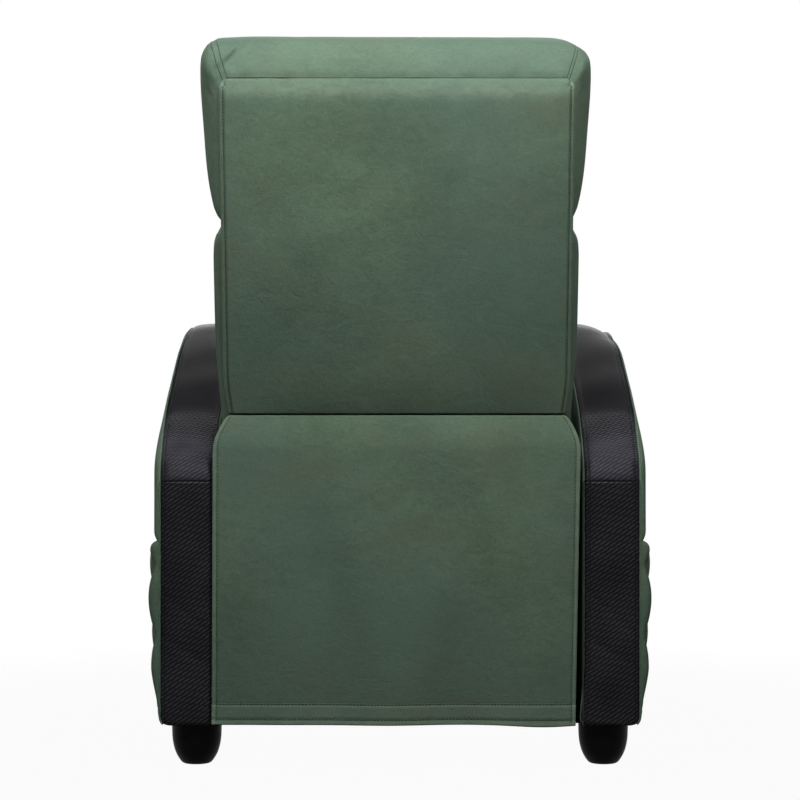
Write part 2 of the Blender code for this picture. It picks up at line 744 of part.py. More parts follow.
def make_curtain():
    """A hanging cloth, sewn under the rear panel, with cut corners and shallow folds."""
    rows = CURTAIN_ROWS
    sewn, top = back_to_world(PAD_REAR + TOUCH_GAP + PANEL_EDGE, PANEL_LOW)
    top -= TOUCH_GAP
    corner = top - CURTAIN_CORNER_DROP
    hanging = ARM_REAR + TOUCH_GAP

    def shape(u, v, w):
        row = (w + 1) / 2 * rows
        below = min(row, rows - 1) / (rows - 1)
        cut = max(0, row - rows + 1)
        height = CURTAIN_BOTTOM + (corner - CURTAIN_BOTTOM) * below + (top - corner) * cut
        half = CURTAIN_HALF_WIDTH + (CURTAIN_TOP_HALF_WIDTH - CURTAIN_HALF_WIDTH) * cut
        hang = (top - height) / (top - CURTAIN_BOTTOM)
        fold = CURTAIN_FOLD * hang * (1 - math.cos(2 * math.pi * u)) / 2
        face = hanging + (sewn - CURTAIN_THICKNESS - hanging) * cut
        return (
            u * half + CURTAIN_SHIFT * hang,
            face + fold + CURTAIN_THICKNESS * (v + 1) / 2,
            height,
        )

    cage("rear_curtain", (0, 0, 0), (CURTAIN_COLUMNS, 1, rows), shape, NUBUCK)


def make_side_plates():
    """The plates that carry the back's and the footrest's pivots, with their pins."""
    rear, front = BACK_PIVOT[0], LOWER_PIVOT[0]
    outline = [
        (rear - PLATE_MARGIN, SEAT_RAIL_LOW),
        (DRIVE_PIVOT[0] - PLATE_MARGIN, SEAT_RAIL_LOW),
        (DRIVE_PIVOT[0] - PLATE_MARGIN, DRIVE_PIVOT[1] - PLATE_MARGIN),
        (DRIVE_PIVOT[0] + PLATE_MARGIN, DRIVE_PIVOT[1] - PLATE_MARGIN),
        (front + PLATE_MARGIN, LOWER_PIVOT[1] - PLATE_MARGIN),
        (front + PLATE_MARGIN, SEAT_RAIL_TOP),
        (rear + PLATE_MARGIN, SEAT_RAIL_TOP),
        (rear + PLATE_MARGIN, BACK_PIVOT[1] + PLATE_MARGIN),
        (rear - PLATE_MARGIN, BACK_PIVOT[1] + PLATE_MARGIN),
    ]
    for side_name, side in SIDES:
        name = "side_plate_" + side_name
        plate = flat(name, [outline], LINK_THICKNESS, side * layer_middle(0), COATED_STEEL)
        start = side * layer_middle(0)
        pins = (("back_pin_", BACK_PIVOT, 1), ("lower_pin_", LOWER_PIVOT, LOWER_LAYER))
        for pin_name, place, layer in (*pins, ("drive_pin_", DRIVE_PIVOT, DRIVE_LAYER)):
            add_pin(plate, pin_name + side_name, place, start, side * pin_end(layer), None)


# Back


def make_back_frame(hinge):
    outer, inner = BACK_RAIL_OUTER, BACK_RAIL_OUTER - BACK_RAIL_WIDTH
    front, rear = BACK_RAIL_FRONT, BACK_RAIL_FRONT + BACK_RAIL_DEPTH
    for side_name, side in SIDES:
        low_x, high_x = mirrored_x(side, inner, outer)
        low, high = (low_x, front, BACK_FRAME_LOW), (high_x, rear, BACK_FRAME_HIGH)
        box("back_side_rail_" + side_name, low, high, PLYWOOD, hinge)
    half = inner - TOUCH_GAP
    for name, base in back_cross_rails():
        low, high = (-half, front, base), (half, rear, base + BACK_CROSS_HEIGHT)
        box(name, low, high, PLYWOOD, hinge)


def back_cross_rails():
    return (
        ("back_bottom_rail", BACK_CROSS_LOW),
        ("back_top_rail", BACK_FRAME_HIGH - BACK_CROSS_HEIGHT),
    )


def make_brackets(hinge):
    """The steel brackets that join the back's side rails to the pivot."""
    front, rear = -BACK_RAIL_FRONT, -BACK_RAIL_FRONT - BACK_RAIL_DEPTH
    outline = [
        (PLATE_MARGIN, -PLATE_MARGIN),
        (PLATE_MARGIN, PLATE_MARGIN),
        (front, 2 * PLATE_MARGIN),
        (front, BRACKET_REACH),
        (rear, BRACKET_REACH),
        (rear, BACK_FRAME_LOW),
        (-PLATE_MARGIN, -PLATE_MARGIN),
    ]
    hole = circle_points((0, 0), PIN_RADIUS + PIN_PLAY, HOLE_SIDES)
    for side_name, side in SIDES:
        name = "back_bracket_" + side_name
        flat(name, [outline, hole], LINK_THICKNESS, side * layer_middle(1), COATED_STEEL, hinge)


def cut_frame_grooves(pad, hinge):
    """Room in a pad for the wooden frame that it wraps."""
    outer = BACK_RAIL_OUTER + LINK_THICKNESS + 2 * TOUCH_GAP
    inner = BACK_RAIL_OUTER - BACK_RAIL_WIDTH - TOUCH_GAP
    front, rear = BACK_RAIL_FRONT - TOUCH_GAP, PAD_REAR + CUT_OVERRUN
    for side_name, side in SIDES:
        low_x, high_x = mirrored_x(side, inner, outer)
        name = pad.name + "_groove_" + side_name
        low = (low_x, front, BACK_FRAME_LOW - CUT_OVERRUN)
        cut_box(pad, name, low, (high_x, rear, BACK_FRAME_HIGH + TOUCH_GAP), hinge)


def cut_cross_groove(pad, base, hinge):
    """A groove across a pad, a little wider than the side grooves that it meets."""
    inner = BACK_RAIL_OUTER - BACK_RAIL_WIDTH
    front, rear = BACK_RAIL_FRONT - 2 * TOUCH_GAP, PAD_REAR + 2 * CUT_OVERRUN
    low = (-inner, front, base - 2 * TOUCH_GAP)
    high = (inner, rear, base + BACK_CROSS_HEIGHT + 2 * TOUCH_GAP)
    cut_box(pad, pad.name + "_cross_groove", low, high, hinge)


def pad_shape(half, radius, crown, width_shares, top_share):
    """A back pad whose sides and top swell forward from the rear panel's outline."""
    rear_share = PANEL_HALF_WIDTH / half[0]

    def shape(u, v, w):
        front = rounded((u, min(v, 0), w), half, radius)
        width = interpolate(width_shares, (w + 1) / 2)
        if v <= 0:
            middle = (1 - u * u) * (1 - w * w)
            return (front.x * width, front.y + crown * middle * v, front.z)
        swelling = math.sqrt(1 - math.sin(v * math.pi / 2) ** 2)
        across = min(rear_share, width) + (width - min(rear_share, width)) * swelling
        upward = top_share + (1 - top_share) * swelling if w > 0 else 1
        x = half[0] * math.sin(u * math.pi / 2) * (1 - swelling) + front.x * swelling
        z = half[2] * math.sin(w * math.pi / 2) * (1 - swelling) + front.z * swelling
        return (x * across, half[1] * math.sin(v * math.pi / 2), z * upward)

    return shape


def make_back_pad(hinge):
    low, high = BACK_PAD_LOW, HEADREST_LOW - TOUCH_GAP
    half = (BACK_PAD_HALF_WIDTH, (BACK_PAD_FRONT + PAD_REAR) / 2, (high - low) / 2)
    centre = (0, (PAD_REAR - BACK_PAD_FRONT) / 2, (low + high) / 2)
    shape = pad_shape(half, BACK_PAD_ROUND, BACK_PAD_CROWN, BACK_PAD_WIDTH_SHARES, 1)
    pad = cage("back_cushion", centre, BACK_PAD_SPANS, shape, NUBUCK, hinge)
    cut_cross_groove(pad, BACK_CROSS_LOW, hinge)
    cut_frame_grooves(pad, hinge)


def make_headrest(hinge):
    half = (
        HEADREST_HALF_WIDTH,
        (HEADREST_FRONT + PAD_REAR) / 2,
        (HEADREST_HIGH - HEADREST_LOW) / 2,
    )
    centre = (0, (PAD_REAR - HEADREST_FRONT) / 2, (HEADREST_LOW + HEADREST_HIGH) / 2)
    top_share = (PANEL_HIGH - centre[2]) / half[2]
    shape = pad_shape(half, HEADREST_ROUND, HEADREST_CROWN, HEADREST_WIDTH_SHARES, top_share)
    pad = cage("headrest", centre, HEADREST_SPANS, shape, NUBUCK, hinge)
    cut_cross_groove(pad, BACK_FRAME_HIGH - BACK_CROSS_HEIGHT, hinge)
    cut_frame_grooves(pad, hinge)


def make_rear_panel(hinge):
    """The upholstered panel that closes the back, with cut upper corners."""
    half_height = (PANEL_HIGH - PANEL_LOW) / 2
    centre = (0, PAD_REAR + TOUCH_GAP, (PANEL_HIGH + PANEL_LOW) / 2)

    def shape(u, v, w):
        chamfer = PANEL_CHAMFER if abs(u) == 1 and w == 1 else 0.0
        crown = PANEL_CROWN * (1 - u**PANEL_CROWN_POWER) * (1 - w**PANEL_CROWN_POWER)
        depth = (PANEL_EDGE + crown) * (v + 1) / 2
        return (u * PANEL_HALF_WIDTH, depth, w * half_height - chamfer)

    cage("back_rear_panel", centre, PANEL_SPANS, shape, NUBUCK, hinge)


def make_back():
    place = (0, BACK_PIVOT_REAR, BACK_PIVOT_HEIGHT)
    hinge = axis_empty("back_axis", place, tilt=BACK_TILT)
    make_back_frame(hinge)
    make_brackets(hinge)
    make_back_pad(hinge)
    make_headrest(hinge)
    make_rear_panel(hinge)


# Footrest


def link_outline(start, end):
    """A bar with round ends, from start to end along the forward direction."""
    half_turn = HOLE_SIDES // 2
    steps = [math.pi * (i / half_turn + 1 / 2) for i in range(half_turn + 1)]
    rear = [along((start, 0), LINK_HALF_WIDTH, t) for t in steps]
    front = [along((end, 0), LINK_HALF_WIDTH, t + math.pi) for t in steps]
    return rear + front


def link_hole(distance, play=PIN_PLAY):
    return circle_points((distance, 0), PIN_RADIUS + play, HOLE_SIDES)


def world_axis(name, place, parent=None, parent_place=(0, 0)):
    """An empty on a pivot that runs along X, placed from its parent's pivot."""
    forward, up = apart(place, parent_place)
    return axis_empty(name, (0, -forward, up), parent)


def make_links(name, outline, holes, layer, angle, axis):
    """One link on each side of the chair, turning on its axis empty."""
    made = {}
    for side_name, side in SIDES:
        middle = side * layer_middle(layer)
        shapes = [outline, *holes]
        link_name = name + "_" + side_name
        made[side] = flat(link_name, shapes, LINK_THICKNESS, middle, COATED_STEEL, axis, angle)
    return made


def pin_links(links, pin_name, place, layer_from, layer_to, axis, pivot):
    """Joins a pin to each link of a pair; its place is given in the world."""
    for side_name, side in SIDES:
        start = side * layer_middle(layer_from)
        end = side * (pin_end(layer_to) if layer_to > layer_from else outer_pin_end(layer_to))
        add_pin(links[side], pin_name + "_" + side_name, apart(place, pivot), start, end, axis)


def outer_pin_end(layer):
    return layer_outer(layer) - TOUCH_GAP


def make_lower_links():
    axis = world_axis("lower_link_axis", LOWER_PIVOT)
    outline = link_outline(0, LINK_LENGTH)
    links = make_links("lower_link", outline, [link_hole(0)], LOWER_LAYER, LOWER_LINK_ANGLE, axis)
    pin_links(links, "knee_pin", KNEE_PIN, LOWER_LAYER, UPPER_LAYER, axis, LOWER_PIVOT)
    pin_links(links, "control_pin", CONTROL_PIN, LOWER_LAYER, CONTROL_LAYER, axis, LOWER_PIVOT)
    half = layer_outer(LOWER_LAYER) - LINK_THICKNESS - TOUCH_GAP
    make_torque_tube(half, axis)
    return axis


def make_torque_tube(half, axis):
    curve = bpy.data.curves.new("torque_tube", "CURVE")
    curve.dimensions = "3D"
    curve.bevel_depth = TORQUE_TUBE_RADIUS
    curve.bevel_resolution = TUBE_SAMPLES
    curve.use_fill_caps = True
    spline = curve.splines.new("POLY")
    spline.points.add(1)
    spline.points[0].co = (-half, 0, 0, 1)
    spline.points[1].co = (half, 0, 0, 1)
    finish_part(bpy.data.objects.new("torque_tube", curve), COATED_STEEL, axis)


def make_upper_links(lower_axis):
    axis = world_axis("upper_link_axis", KNEE_PIN, lower_axis, LOWER_PIVOT)
    outline = link_outline(-UPPER_TAIL, LINK_LENGTH)
    links = make_links("upper_link", outline, [link_hole(0)], UPPER_LAYER, UPPER_LINK_ANGLE, axis)
    pin_links(links, "board_pin", BOARD_PIN, UPPER_LAYER, BRACKET_LAYER, axis, KNEE_PIN)
    pin_links(links, "tail_pin", TAIL_PIN, UPPER_LAYER, DRIVE_LAYER, axis, KNEE_PIN)
    return axis


def make_drive_links():
    axis = world_axis("drive_link_axis", DRIVE_PIVOT)
    outline = link_outline(0, DRIVE_LINK_LENGTH)
    holes = [link_hole(0), link_hole(DRIVE_LINK_LENGTH, OPEN_PIN_PLAY)]
    make_links("drive_link", outline, holes, DRIVE_LAYER, DRIVE_LINK_ANGLE, axis)


def make_control_links(lower_axis):
    axis = world_axis("control_link_axis", CONTROL_PIN, lower_axis, LOWER_PIVOT)
    outline = link_outline(0, CONTROL_LINK_LENGTH)
    holes = [link_hole(0), link_hole(CONTROL_LINK_LENGTH, OPEN_PIN_PLAY)]
    make_links("control_link", outline, holes, CONTROL_LAYER, CONTROL_LINK_ANGLE, axis)


def make_footrest_brackets(axis):
    face = BOARD_STANDOFF - TOUCH_GAP
    rise = CONTROL_BOARD_RISE + LINK_HALF_WIDTH
    outline = [
        (-LINK_HALF_WIDTH, -LINK_HALF_WIDTH),
        (face, -2 * LINK_HALF_WIDTH),
        (face, rise + LINK_HALF_WIDTH),
        (CONTROL_BOARD_FORWARD - LINK_HALF_WIDTH, rise),
        (-LINK_HALF_WIDTH, LINK_HALF_WIDTH),
    ]
    hole = circle_points((0, 0), PIN_RADIUS + PIN_PLAY, HOLE_SIDES)
    brackets = make_links("footrest_bracket", outline, [hole], BRACKET_LAYER, 0.0, axis)
    place = BOARD_CONTROL_PIN
    pin_links(brackets, "board_control_pin", place, BRACKET_LAYER, CONTROL_LAYER, axis, BOARD_PIN)


def make_footrest_board(axis):
    half = HALF_SITTING - FOOTREST_SIDE_PLAY
    low = (-half, -BOARD_STANDOFF - FOOTREST_BOARD_THICKNESS, -FOOTREST_BELOW)
    box("footrest_board", low, (half, -BOARD_STANDOFF, FOOTREST_ABOVE), PLYWOOD, axis)


def make_footrest_cushion(axis):
    """Crowned towards the front, flat against its board."""
    back = BOARD_STANDOFF + FOOTREST_BOARD_THICKNESS + TOUCH_GAP
    low = -FOOTREST_BELOW - FOOTREST_PAD_OVERHANG
    high = FOOTREST_ABOVE + FOOTREST_PAD_OVERHANG
    half = (
        HALF_SITTING - FOOTREST_SIDE_PLAY,
        FOOTREST_PAD_THICKNESS / 2,
        (high - low) / 2,
    )
    centre = (0, -back - half[1], (high + low) / 2)

    def shape(u, v, w):
        place = rounded((u, v, w), half, FOOTREST_PAD_ROUND)
        if v == 1:
            place.y = half[1]
        place.y -= FOOTREST_PAD_CROWN * (1 - u * u) * (1 - w * w) * max(-v, 0)
        return place

    cage("footrest_cushion", centre, FOOTREST_PAD_SPANS, shape, NUBUCK, axis)


def make_footrest():
    lower_axis = make_lower_links()
    upper_axis = make_upper_links(lower_axis)
    make_drive_links()
    make_control_links(lower_axis)
    axis = world_axis("footrest_axis", BOARD_PIN, upper_axis, KNEE_PIN)
    make_footrest_brackets(axis)
    make_footrest_board(axis)
    make_footrest_cushion(axis)


def main():
    for side_name, side in SIDES:
        make_arm(side_name, side)
    make_cross_rails()
    make_seat_frame()
    make_springs()
    make_seat_cushion()
    make_curtain()
    make_side_plates()
    make_back()
    make_footrest()


main()
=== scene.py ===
# Push-back gaming recliner, seen square from behind: green brushed cover, black woven arm bands.
import json
import math

import bmesh
import bpy
import numpy as np
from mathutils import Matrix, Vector
from mathutils.bvhtree import BVHTree


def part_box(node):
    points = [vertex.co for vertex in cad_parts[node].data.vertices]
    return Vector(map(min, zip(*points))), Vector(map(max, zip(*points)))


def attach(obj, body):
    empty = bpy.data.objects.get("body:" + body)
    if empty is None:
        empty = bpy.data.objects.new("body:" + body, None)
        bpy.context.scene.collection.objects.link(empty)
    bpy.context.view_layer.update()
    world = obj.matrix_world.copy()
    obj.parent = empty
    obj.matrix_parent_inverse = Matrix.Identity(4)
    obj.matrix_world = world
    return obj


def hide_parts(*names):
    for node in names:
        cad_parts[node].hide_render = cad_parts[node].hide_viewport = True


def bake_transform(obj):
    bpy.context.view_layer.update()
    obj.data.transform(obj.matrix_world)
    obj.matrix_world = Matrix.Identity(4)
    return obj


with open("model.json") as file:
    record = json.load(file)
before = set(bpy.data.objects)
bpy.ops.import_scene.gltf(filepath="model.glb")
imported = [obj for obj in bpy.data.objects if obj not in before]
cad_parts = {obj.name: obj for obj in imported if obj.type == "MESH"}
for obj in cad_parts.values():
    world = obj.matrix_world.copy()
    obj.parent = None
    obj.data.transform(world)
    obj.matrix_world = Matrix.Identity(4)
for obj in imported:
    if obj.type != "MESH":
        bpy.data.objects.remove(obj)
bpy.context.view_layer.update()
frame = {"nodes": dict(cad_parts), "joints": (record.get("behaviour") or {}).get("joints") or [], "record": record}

sides = (("left", 1), ("right", -1))
seamGap = 0.0004  # left between two sewn pieces


# ---------- measures read from the frame ----------
def corners(node):
    low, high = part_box(node)
    return np.array(low), np.array(high)


def jointPlace(name):
    place = next(j["pos_m"] for j in frame["joints"] if j["name"] == name)
    return np.array(place, float)


backHinge = jointPlace("back_recline")
backTilt = math.radians(13)  # at rest, from upright


def backToWorld(points):
    # the back's own frame (x, rear, up) turned by its tilt about the recline pivot
    x, rear, up = points[..., 0], points[..., 1], points[..., 2]
    y = backHinge[1] + rear * math.cos(backTilt) + up * math.sin(backTilt)
    z = backHinge[2] + up * math.cos(backTilt) - rear * math.sin(backTilt)
    return np.stack([x, y, z], -1)


def turnToBack(way):
    # a direction of the back's own frame, in the world
    way = np.array(way, float)
    return backToWorld(way) - backToWorld(0 * way)


def worldToBack(points):
    x, y, z = points[..., 0], points[..., 1] - backHinge[1], points[..., 2] - backHinge[2]
    rear = y * math.cos(backTilt) - z * math.sin(backTilt)
    return np.stack([x, rear, y * math.sin(backTilt) + z * math.cos(backTilt)], -1)


# ---------- mesh tools ----------
def gridFaces(rows, columns, start=0):
    # quads between the neighbouring points of a grid
    index = np.arange(rows * columns).reshape(rows, columns) + start
    quads = np.stack([index[:-1, :-1], index[1:, :-1], index[1:, 1:], index[:-1, 1:]], -1)
    return quads.reshape(-1, 4)


def meshObject(name, points, faces, uv=None, turnOut=False):
    # faces: arrays of quads or triangles; uv: one pair for each point
    mesh = bpy.data.meshes.new(name)
    faceList = [f for block in faces for f in np.asarray(block).tolist()]
    mesh.from_pydata(np.asarray(points, float).reshape(-1, 3).tolist(), [], faceList)
    if uv is not None:
        layer = mesh.uv_layers.new(name="cloth")
        order = np.empty(len(mesh.loops), int)
        mesh.loops.foreach_get("vertex_index", order)
        layer.data.foreach_set("uv", np.asarray(uv, np.float32).reshape(-1, 2)[order].ravel())
    if turnOut:
        form = bmesh.new()
        form.from_mesh(mesh)
        bmesh.ops.recalc_face_normals(form, faces=form.faces)
        form.to_mesh(mesh)
        form.free()
    mesh.polygons.foreach_set("use_smooth", np.ones(len(mesh.polygons), bool))
    mesh.update()
    made = bpy.data.objects.new(name, mesh)
    bpy.context.scene.collection.objects.link(made)
    return made


def closedShell(name, outer, inner, uv=None):
    # an outer and an inner grid of the same size, joined round their rims
    rows, columns = outer.shape[:2]
    count = rows * columns
    index = np.arange(count).reshape(rows, columns)
    rim = np.concatenate([index[0, :], index[1:, -1], index[-1, -2::-1], index[-2:0:-1, 0]])
    after = np.roll(rim, -1)
    walls = np.stack([rim, after, after + count, rim + count], -1)
    faces = [gridFaces(rows, columns), gridFaces(rows, columns, count)[:, ::-1], walls]
    points = np.concatenate([outer.reshape(-1, 3), inner.reshape(-1, 3)])
    both = None if uv is None else np.concatenate([uv.reshape(-1, 2)] * 2)
    return meshObject(name, points, faces, both, turnOut=True)


def xyz(x, y, z):
    # points from three coordinates, each an array or one value
    return np.stack(np.broadcast_arrays(x, y, z), -1)


def markPoints(piece, name, values):
    # a value for each point, read by a material under this name
    full = np.zeros(len(piece.data.vertices), np.float32)
    full[:np.size(values)] = np.ravel(values)
    layer = piece.data.attributes.new(name, "FLOAT", "POINT")
    layer.data.foreach_set("value", full)


def unit(vectors):
    return vectors / np.maximum(np.linalg.norm(vectors, axis=-1, keepdims=True), 1e-9)


def runAlong(path):
    # how far along a line each of its points lies
    return np.concatenate([[0], np.cumsum(np.linalg.norm(np.diff(path, axis=0), axis=1))])


def readOff(at, places, rows):
    # rows of values read off at places between them
    return np.stack([np.interp(at, places, column) for column in rows.T], -1)


def resample(path, spacing):
    # the same line with points an equal distance apart
    run = runAlong(path)
    count = max(2, int(round(run[-1] / spacing)) + 1)
    return readOff(np.linspace(0, run[-1], count), run, path)


def smoothLine(points, spacing):
    # a cubic through the points whose slope at each is the weighted mean of its two chords
    points = np.asarray(points, float)
    chord = np.linalg.norm(np.diff(points, axis=0), axis=1)
    slope = np.diff(points, axis=0) / chord[:, None]
    mean = (slope[:-1] * chord[1:, None] + slope[1:] * chord[:-1, None])
    mean /= (chord[1:] + chord[:-1])[:, None]
    tangent = np.concatenate([slope[:1], mean, slope[-1:]])
    run = np.concatenate([[0], np.cumsum(chord)])
    at = np.linspace(0, run[-1], int(run[-1] / spacing * 4))
    row = np.clip(np.searchsorted(run, at, "right") - 1, 0, len(chord) - 1)
    t = ((at - run[row]) / chord[row])[:, None]
    reach = chord[row][:, None]
    line = (2 * t**3 - 3 * t**2 + 1) * points[row] + (t**3 - 2 * t**2 + t) * reach * tangent[row]
    line += (3 * t**2 - 2 * t**3) * points[row + 1] + (t**3 - t**2) * reach * tangent[row + 1]
    return resample(line, spacing)


def ringFaces(rings, count):
    index = np.arange(rings * count).reshape(rings, count)
    here, ahead = index[:-1], index[1:]
    quads = np.stack([here, ahead, np.roll(ahead, -1, 1), np.roll(here, -1, 1)], -1)
    return quads.reshape(-1, 4)


def cappedRings(rings, count):
    # the faces of a tube, with a fan at each end to the two points that follow its rings
    first = np.arange(count)
    last, ends = first + (rings - 1) * count, rings * count
    startFan = np.stack([np.roll(first, -1), first, np.full(count, ends)], -1)
    endFan = np.stack([last, np.roll(last, -1), np.full(count, ends + 1)], -1)
    return [ringFaces(rings, count), startFan, endFan]


def tube(name, path, radius, count=8):
    # rings of points square to the path; radius may be one value or one for each point
    tangent = unit(np.gradient(path, axis=0))
    hint = np.where(np.abs(tangent[:, :1]) > 0.9, [[0.0, 1.0, 0.0]], [[1.0, 0.0, 0.0]])
    across = unit(np.cross(tangent, hint))
    other = np.cross(tangent, across)
    turn = (np.arange(count) * math.tau / count)[None, :, None]
    ring = across[:, None] * np.cos(turn) + other[:, None] * np.sin(turn)
    points = path[:, None] + ring * np.broadcast_to(radius, (len(path),))[:, None, None]
    points = np.concatenate([points.reshape(-1, 3), path[:1], path[-1:]])
    return meshObject(name, points, cappedRings(len(path), count), turnOut=True)


def turned(name, profile, place, count):
    # (radius, height) pairs turned round the upright line through a place, closed at both poles
    profile = np.asarray(profile, float)
    turn = np.arange(count) * math.tau / count
    radius, height = profile[:, :1], profile[:, 1:]
    points = xyz(-radius * np.sin(turn), radius * np.cos(turn), height).reshape(-1, 3)
    points = np.concatenate([points, [[0, 0, height[0, 0]], [0, 0, height[-1, 0]]]]) + place
    return meshObject(name, points, cappedRings(len(profile), count), turnOut=True)


# ---------- stitches ----------
thread = {"length": 0.0039, "pitch": 0.0049, "radius": 0.00052, "sink": 0.0002}


def stitchTemplate():
    # a short thread with tapering ends that dive into the cloth
    along = np.array([-0.5, -0.36, 0.0, 0.36, 0.5]) * thread["length"]
    wide = np.array([0.35, 0.85, 1.0, 0.85, 0.35]) * thread["radius"]
    drop = np.array([-1.2, -0.2, 0.0, -0.2, -1.2]) * thread["radius"]
    turn = np.arange(6) * math.tau / 6
    side = wide[:, None] * np.cos(turn)
    high = wide[:, None] * np.sin(turn) + drop[:, None]
    points = np.stack([np.broadcast_to(along[:, None], side.shape), side, high], -1)
    return points.reshape(-1, 3), ringFaces(5, 6)


def stitches(name, rows):
    # rows: pairs of (path on the surface, outward direction for each point of it)
    form, quads = stitchTemplate()
    points, faces, start = [], [], 0
    for path, outward in rows:
        run, line = runAlong(path), resample(path, thread["pitch"])
        at = np.linspace(0, run[-1], len(line))
        out = unit(readOff(at, run, np.broadcast_to(outward, path.shape)))
        tangent = unit(np.gradient(line, axis=0))
        side = unit(np.cross(out, tangent))
        out = np.cross(tangent, side)
        centre = line + out * (thread["radius"] - thread["sink"])
        turn = np.stack([tangent, side, out], 1)
        placed = centre[:, None] + np.einsum("pk,nkj->npj", form, turn)
        offsets = (np.arange(len(line)) * len(form))[:, None, None] + start
        points.append(placed.reshape(-1, 3))
        faces.append((quads[None] + offsets).reshape(-1, 4))
        start += len(line) * len(form)
    return meshObject(name, np.concatenate(points), faces)


# ---------- materials ----------
class nodeSet:
    # short calls for the shader nodes of one material or world
    def __init__(self, owner):
        owner.use_nodes = True
        self.owner, self.tree = owner, owner.node_tree
        self.place = self.add("TexCoord").outputs["Object"]

    def put(self, socket, value):
        if isinstance(value, bpy.types.NodeSocket):
            self.tree.links.new(value, socket)
        else:
            socket.default_value = value

    def add(self, kind, inputs=None, **settings):
        node = self.tree.nodes.new("ShaderNode" + kind)
        for key, value in settings.items():
            setattr(node, key, value)
        for key, value in (inputs or {}).items():
            self.put(node.inputs[key], value)
        return node

    def look(self, **values):
        # inputs of the material's own shader, _ for each space in their names
        for key, value in values.items():
            self.put(self.tree.nodes["Principled BSDF"].inputs[key.replace("_", " ")], value)

    def calc(self, operation, first, second=0.0):
        return self.add("Math", {0: first, 1: second}, operation=operation).outputs[0]

    def times(self, first, second):
        return self.calc("MULTIPLY", first, second)

    def plus(self, first, second):
        return self.calc("ADD", first, second)

    def noise(self, place, scale, detail=3.0, roughness=0.55, distortion=0.0):
        inputs = {"Vector": place, "Scale": scale, "Detail": detail, "Roughness": roughness}
        return self.add("TexNoise", {**inputs, "Distortion": distortion}).outputs["Fac"]

    def spread(self, value, low, high, start=0.0, end=1.0):
        return self.add("MapRange", {0: value, 1: low, 2: high, 3: start, 4: end}).outputs[0]

    def stretched(self, scale):
        return self.add("Mapping", {"Vector": self.place, "Scale": scale}).outputs[0]

    def marked(self, name):
        return self.add("Attribute", attribute_name=name).outputs["Fac"]

    def mix(self, share, first, second, blend="MIX"):
        node = self.add("Mix", data_type="RGBA", blend_type=blend)
        for socket, value in zip([s for s in node.inputs if s.enabled], (share, first, second)):
            self.put(socket, value)
        return next(s for s in node.outputs if s.enabled)

    def shaded(self, colour, level):
        # a colour times a grey level
        grey = self.add("CombineColor", {0: level, 1: level, 2: level}).outputs[0]
        return self.mix(1.0, colour, grey, "MULTIPLY")

    def bump(self, height, distance, strength, *normal):
        inputs = {"Height": height, "Distance": distance, "Strength": strength}
        inputs.update(("Normal", below) for below in normal)
        return self.add("Bump", inputs).outputs["Normal"]


def newMaterial(name):
    return nodeSet(bpy.data.materials.new(name))


nubuck = {
    "dark": (0.055, 0.083, 0.055, 1),
    "light": (0.099, 0.145, 0.099, 1),
    "blue": (0.066, 0.103, 0.084, 1),
    "olive": (0.086, 0.1, 0.066, 1),
    # pale tone of the painted highlight on edges and rolls
    "paintedSheen": (0.175, 0.225, 0.165, 1),
    "grain": 0.00022,
}


def brushedCover(name, tone=1.0, gloss=0.03, sheen=0.015):
    # brushed microfibre: slow drift from bluish green to olive, a fine low mottle, few dark specks
    nodes = newMaterial(name)
    dark, light, blue, olive = (
        [c * tone for c in nubuck[key][:3]] + [1] for key in ("dark", "light", "blue", "olive")
    )
    brushed = nodes.stretched((1.0, 1.0, 1.7))
    clouds = nodes.noise(nodes.place, 5.0, 3.0, 0.55, 0.4)
    strokes = nodes.noise(brushed, 34.0, 4.0, 0.6, 1.2)
    mottle = nodes.noise(brushed, 150.0, 3.0, 0.6, 0.6)
    mixed = nodes.plus(nodes.times(clouds, 0.5), nodes.times(strokes, 0.26))
    mixed = nodes.plus(mixed, nodes.times(mottle, 0.24))
    colour = nodes.mix(nodes.spread(mixed, 0.34, 0.66), dark, light)
    cold = nodes.spread(nodes.noise(nodes.place, 3.1, 3.0, 0.5), 0.4, 0.6)
    warm = nodes.spread(nodes.noise(brushed, 5.3, 3.0, 0.55, 0.5), 0.54, 0.68)
    colour = nodes.mix(nodes.times(cold, 0.5), colour, blue)
    colour = nodes.mix(nodes.times(warm, 0.36), colour, olive)
    fibre = nodes.noise(nodes.place, 620.0, 2.0, 0.6)
    specks = nodes.spread(nodes.noise(nodes.place, 210.0, 2.0, 0.5), 0.64, 0.74, 1.0, 0.84)
    level = nodes.times(nodes.spread(fibre, 0.3, 0.7, 0.92, 1.08), specks)
    # painted highlight: marked points are lightened towards the pale tone, unevenly along the strokes
    paintedSheen = nodes.times(nodes.marked("paintedHighlight"), nodes.spread(strokes, 0.3, 0.7, 0.45, 1.0))
    nodes.look(
        Base_Color=nodes.mix(paintedSheen, nodes.shaded(colour, level), nubuck["paintedSheen"]),
        Roughness=nodes.spread(strokes, 0.3, 0.7, 0.74, 0.92),
        Specular_IOR_Level=gloss, Sheen_Weight=sheen, Sheen_Roughness=0.45,
        Sheen_Tint=(0.66, 0.8, 0.64, 1),
    )
    pores = nodes.add("TexVoronoi", {"Vector": nodes.place, "Scale": 340.0}).outputs["Distance"]
    grain = nodes.bump(pores, nubuck["grain"], 0.5, nodes.bump(strokes, 0.0011, 0.5))
    nodes.look(Normal=nodes.bump(fibre, nubuck["grain"], 0.7, grain))
    return nodes.owner


weave = {
    "pitch": 0.00593,  # between two ribs, measured up the arm
    "slant": math.tan(math.radians(34.6)),
    "run": 0.0115,  # length of one rib
    "dark": (0.0078, 0.0078, 0.0094, 1),
    "light": (0.032, 0.032, 0.0365, 1),
    "relief": 0.0005,
}


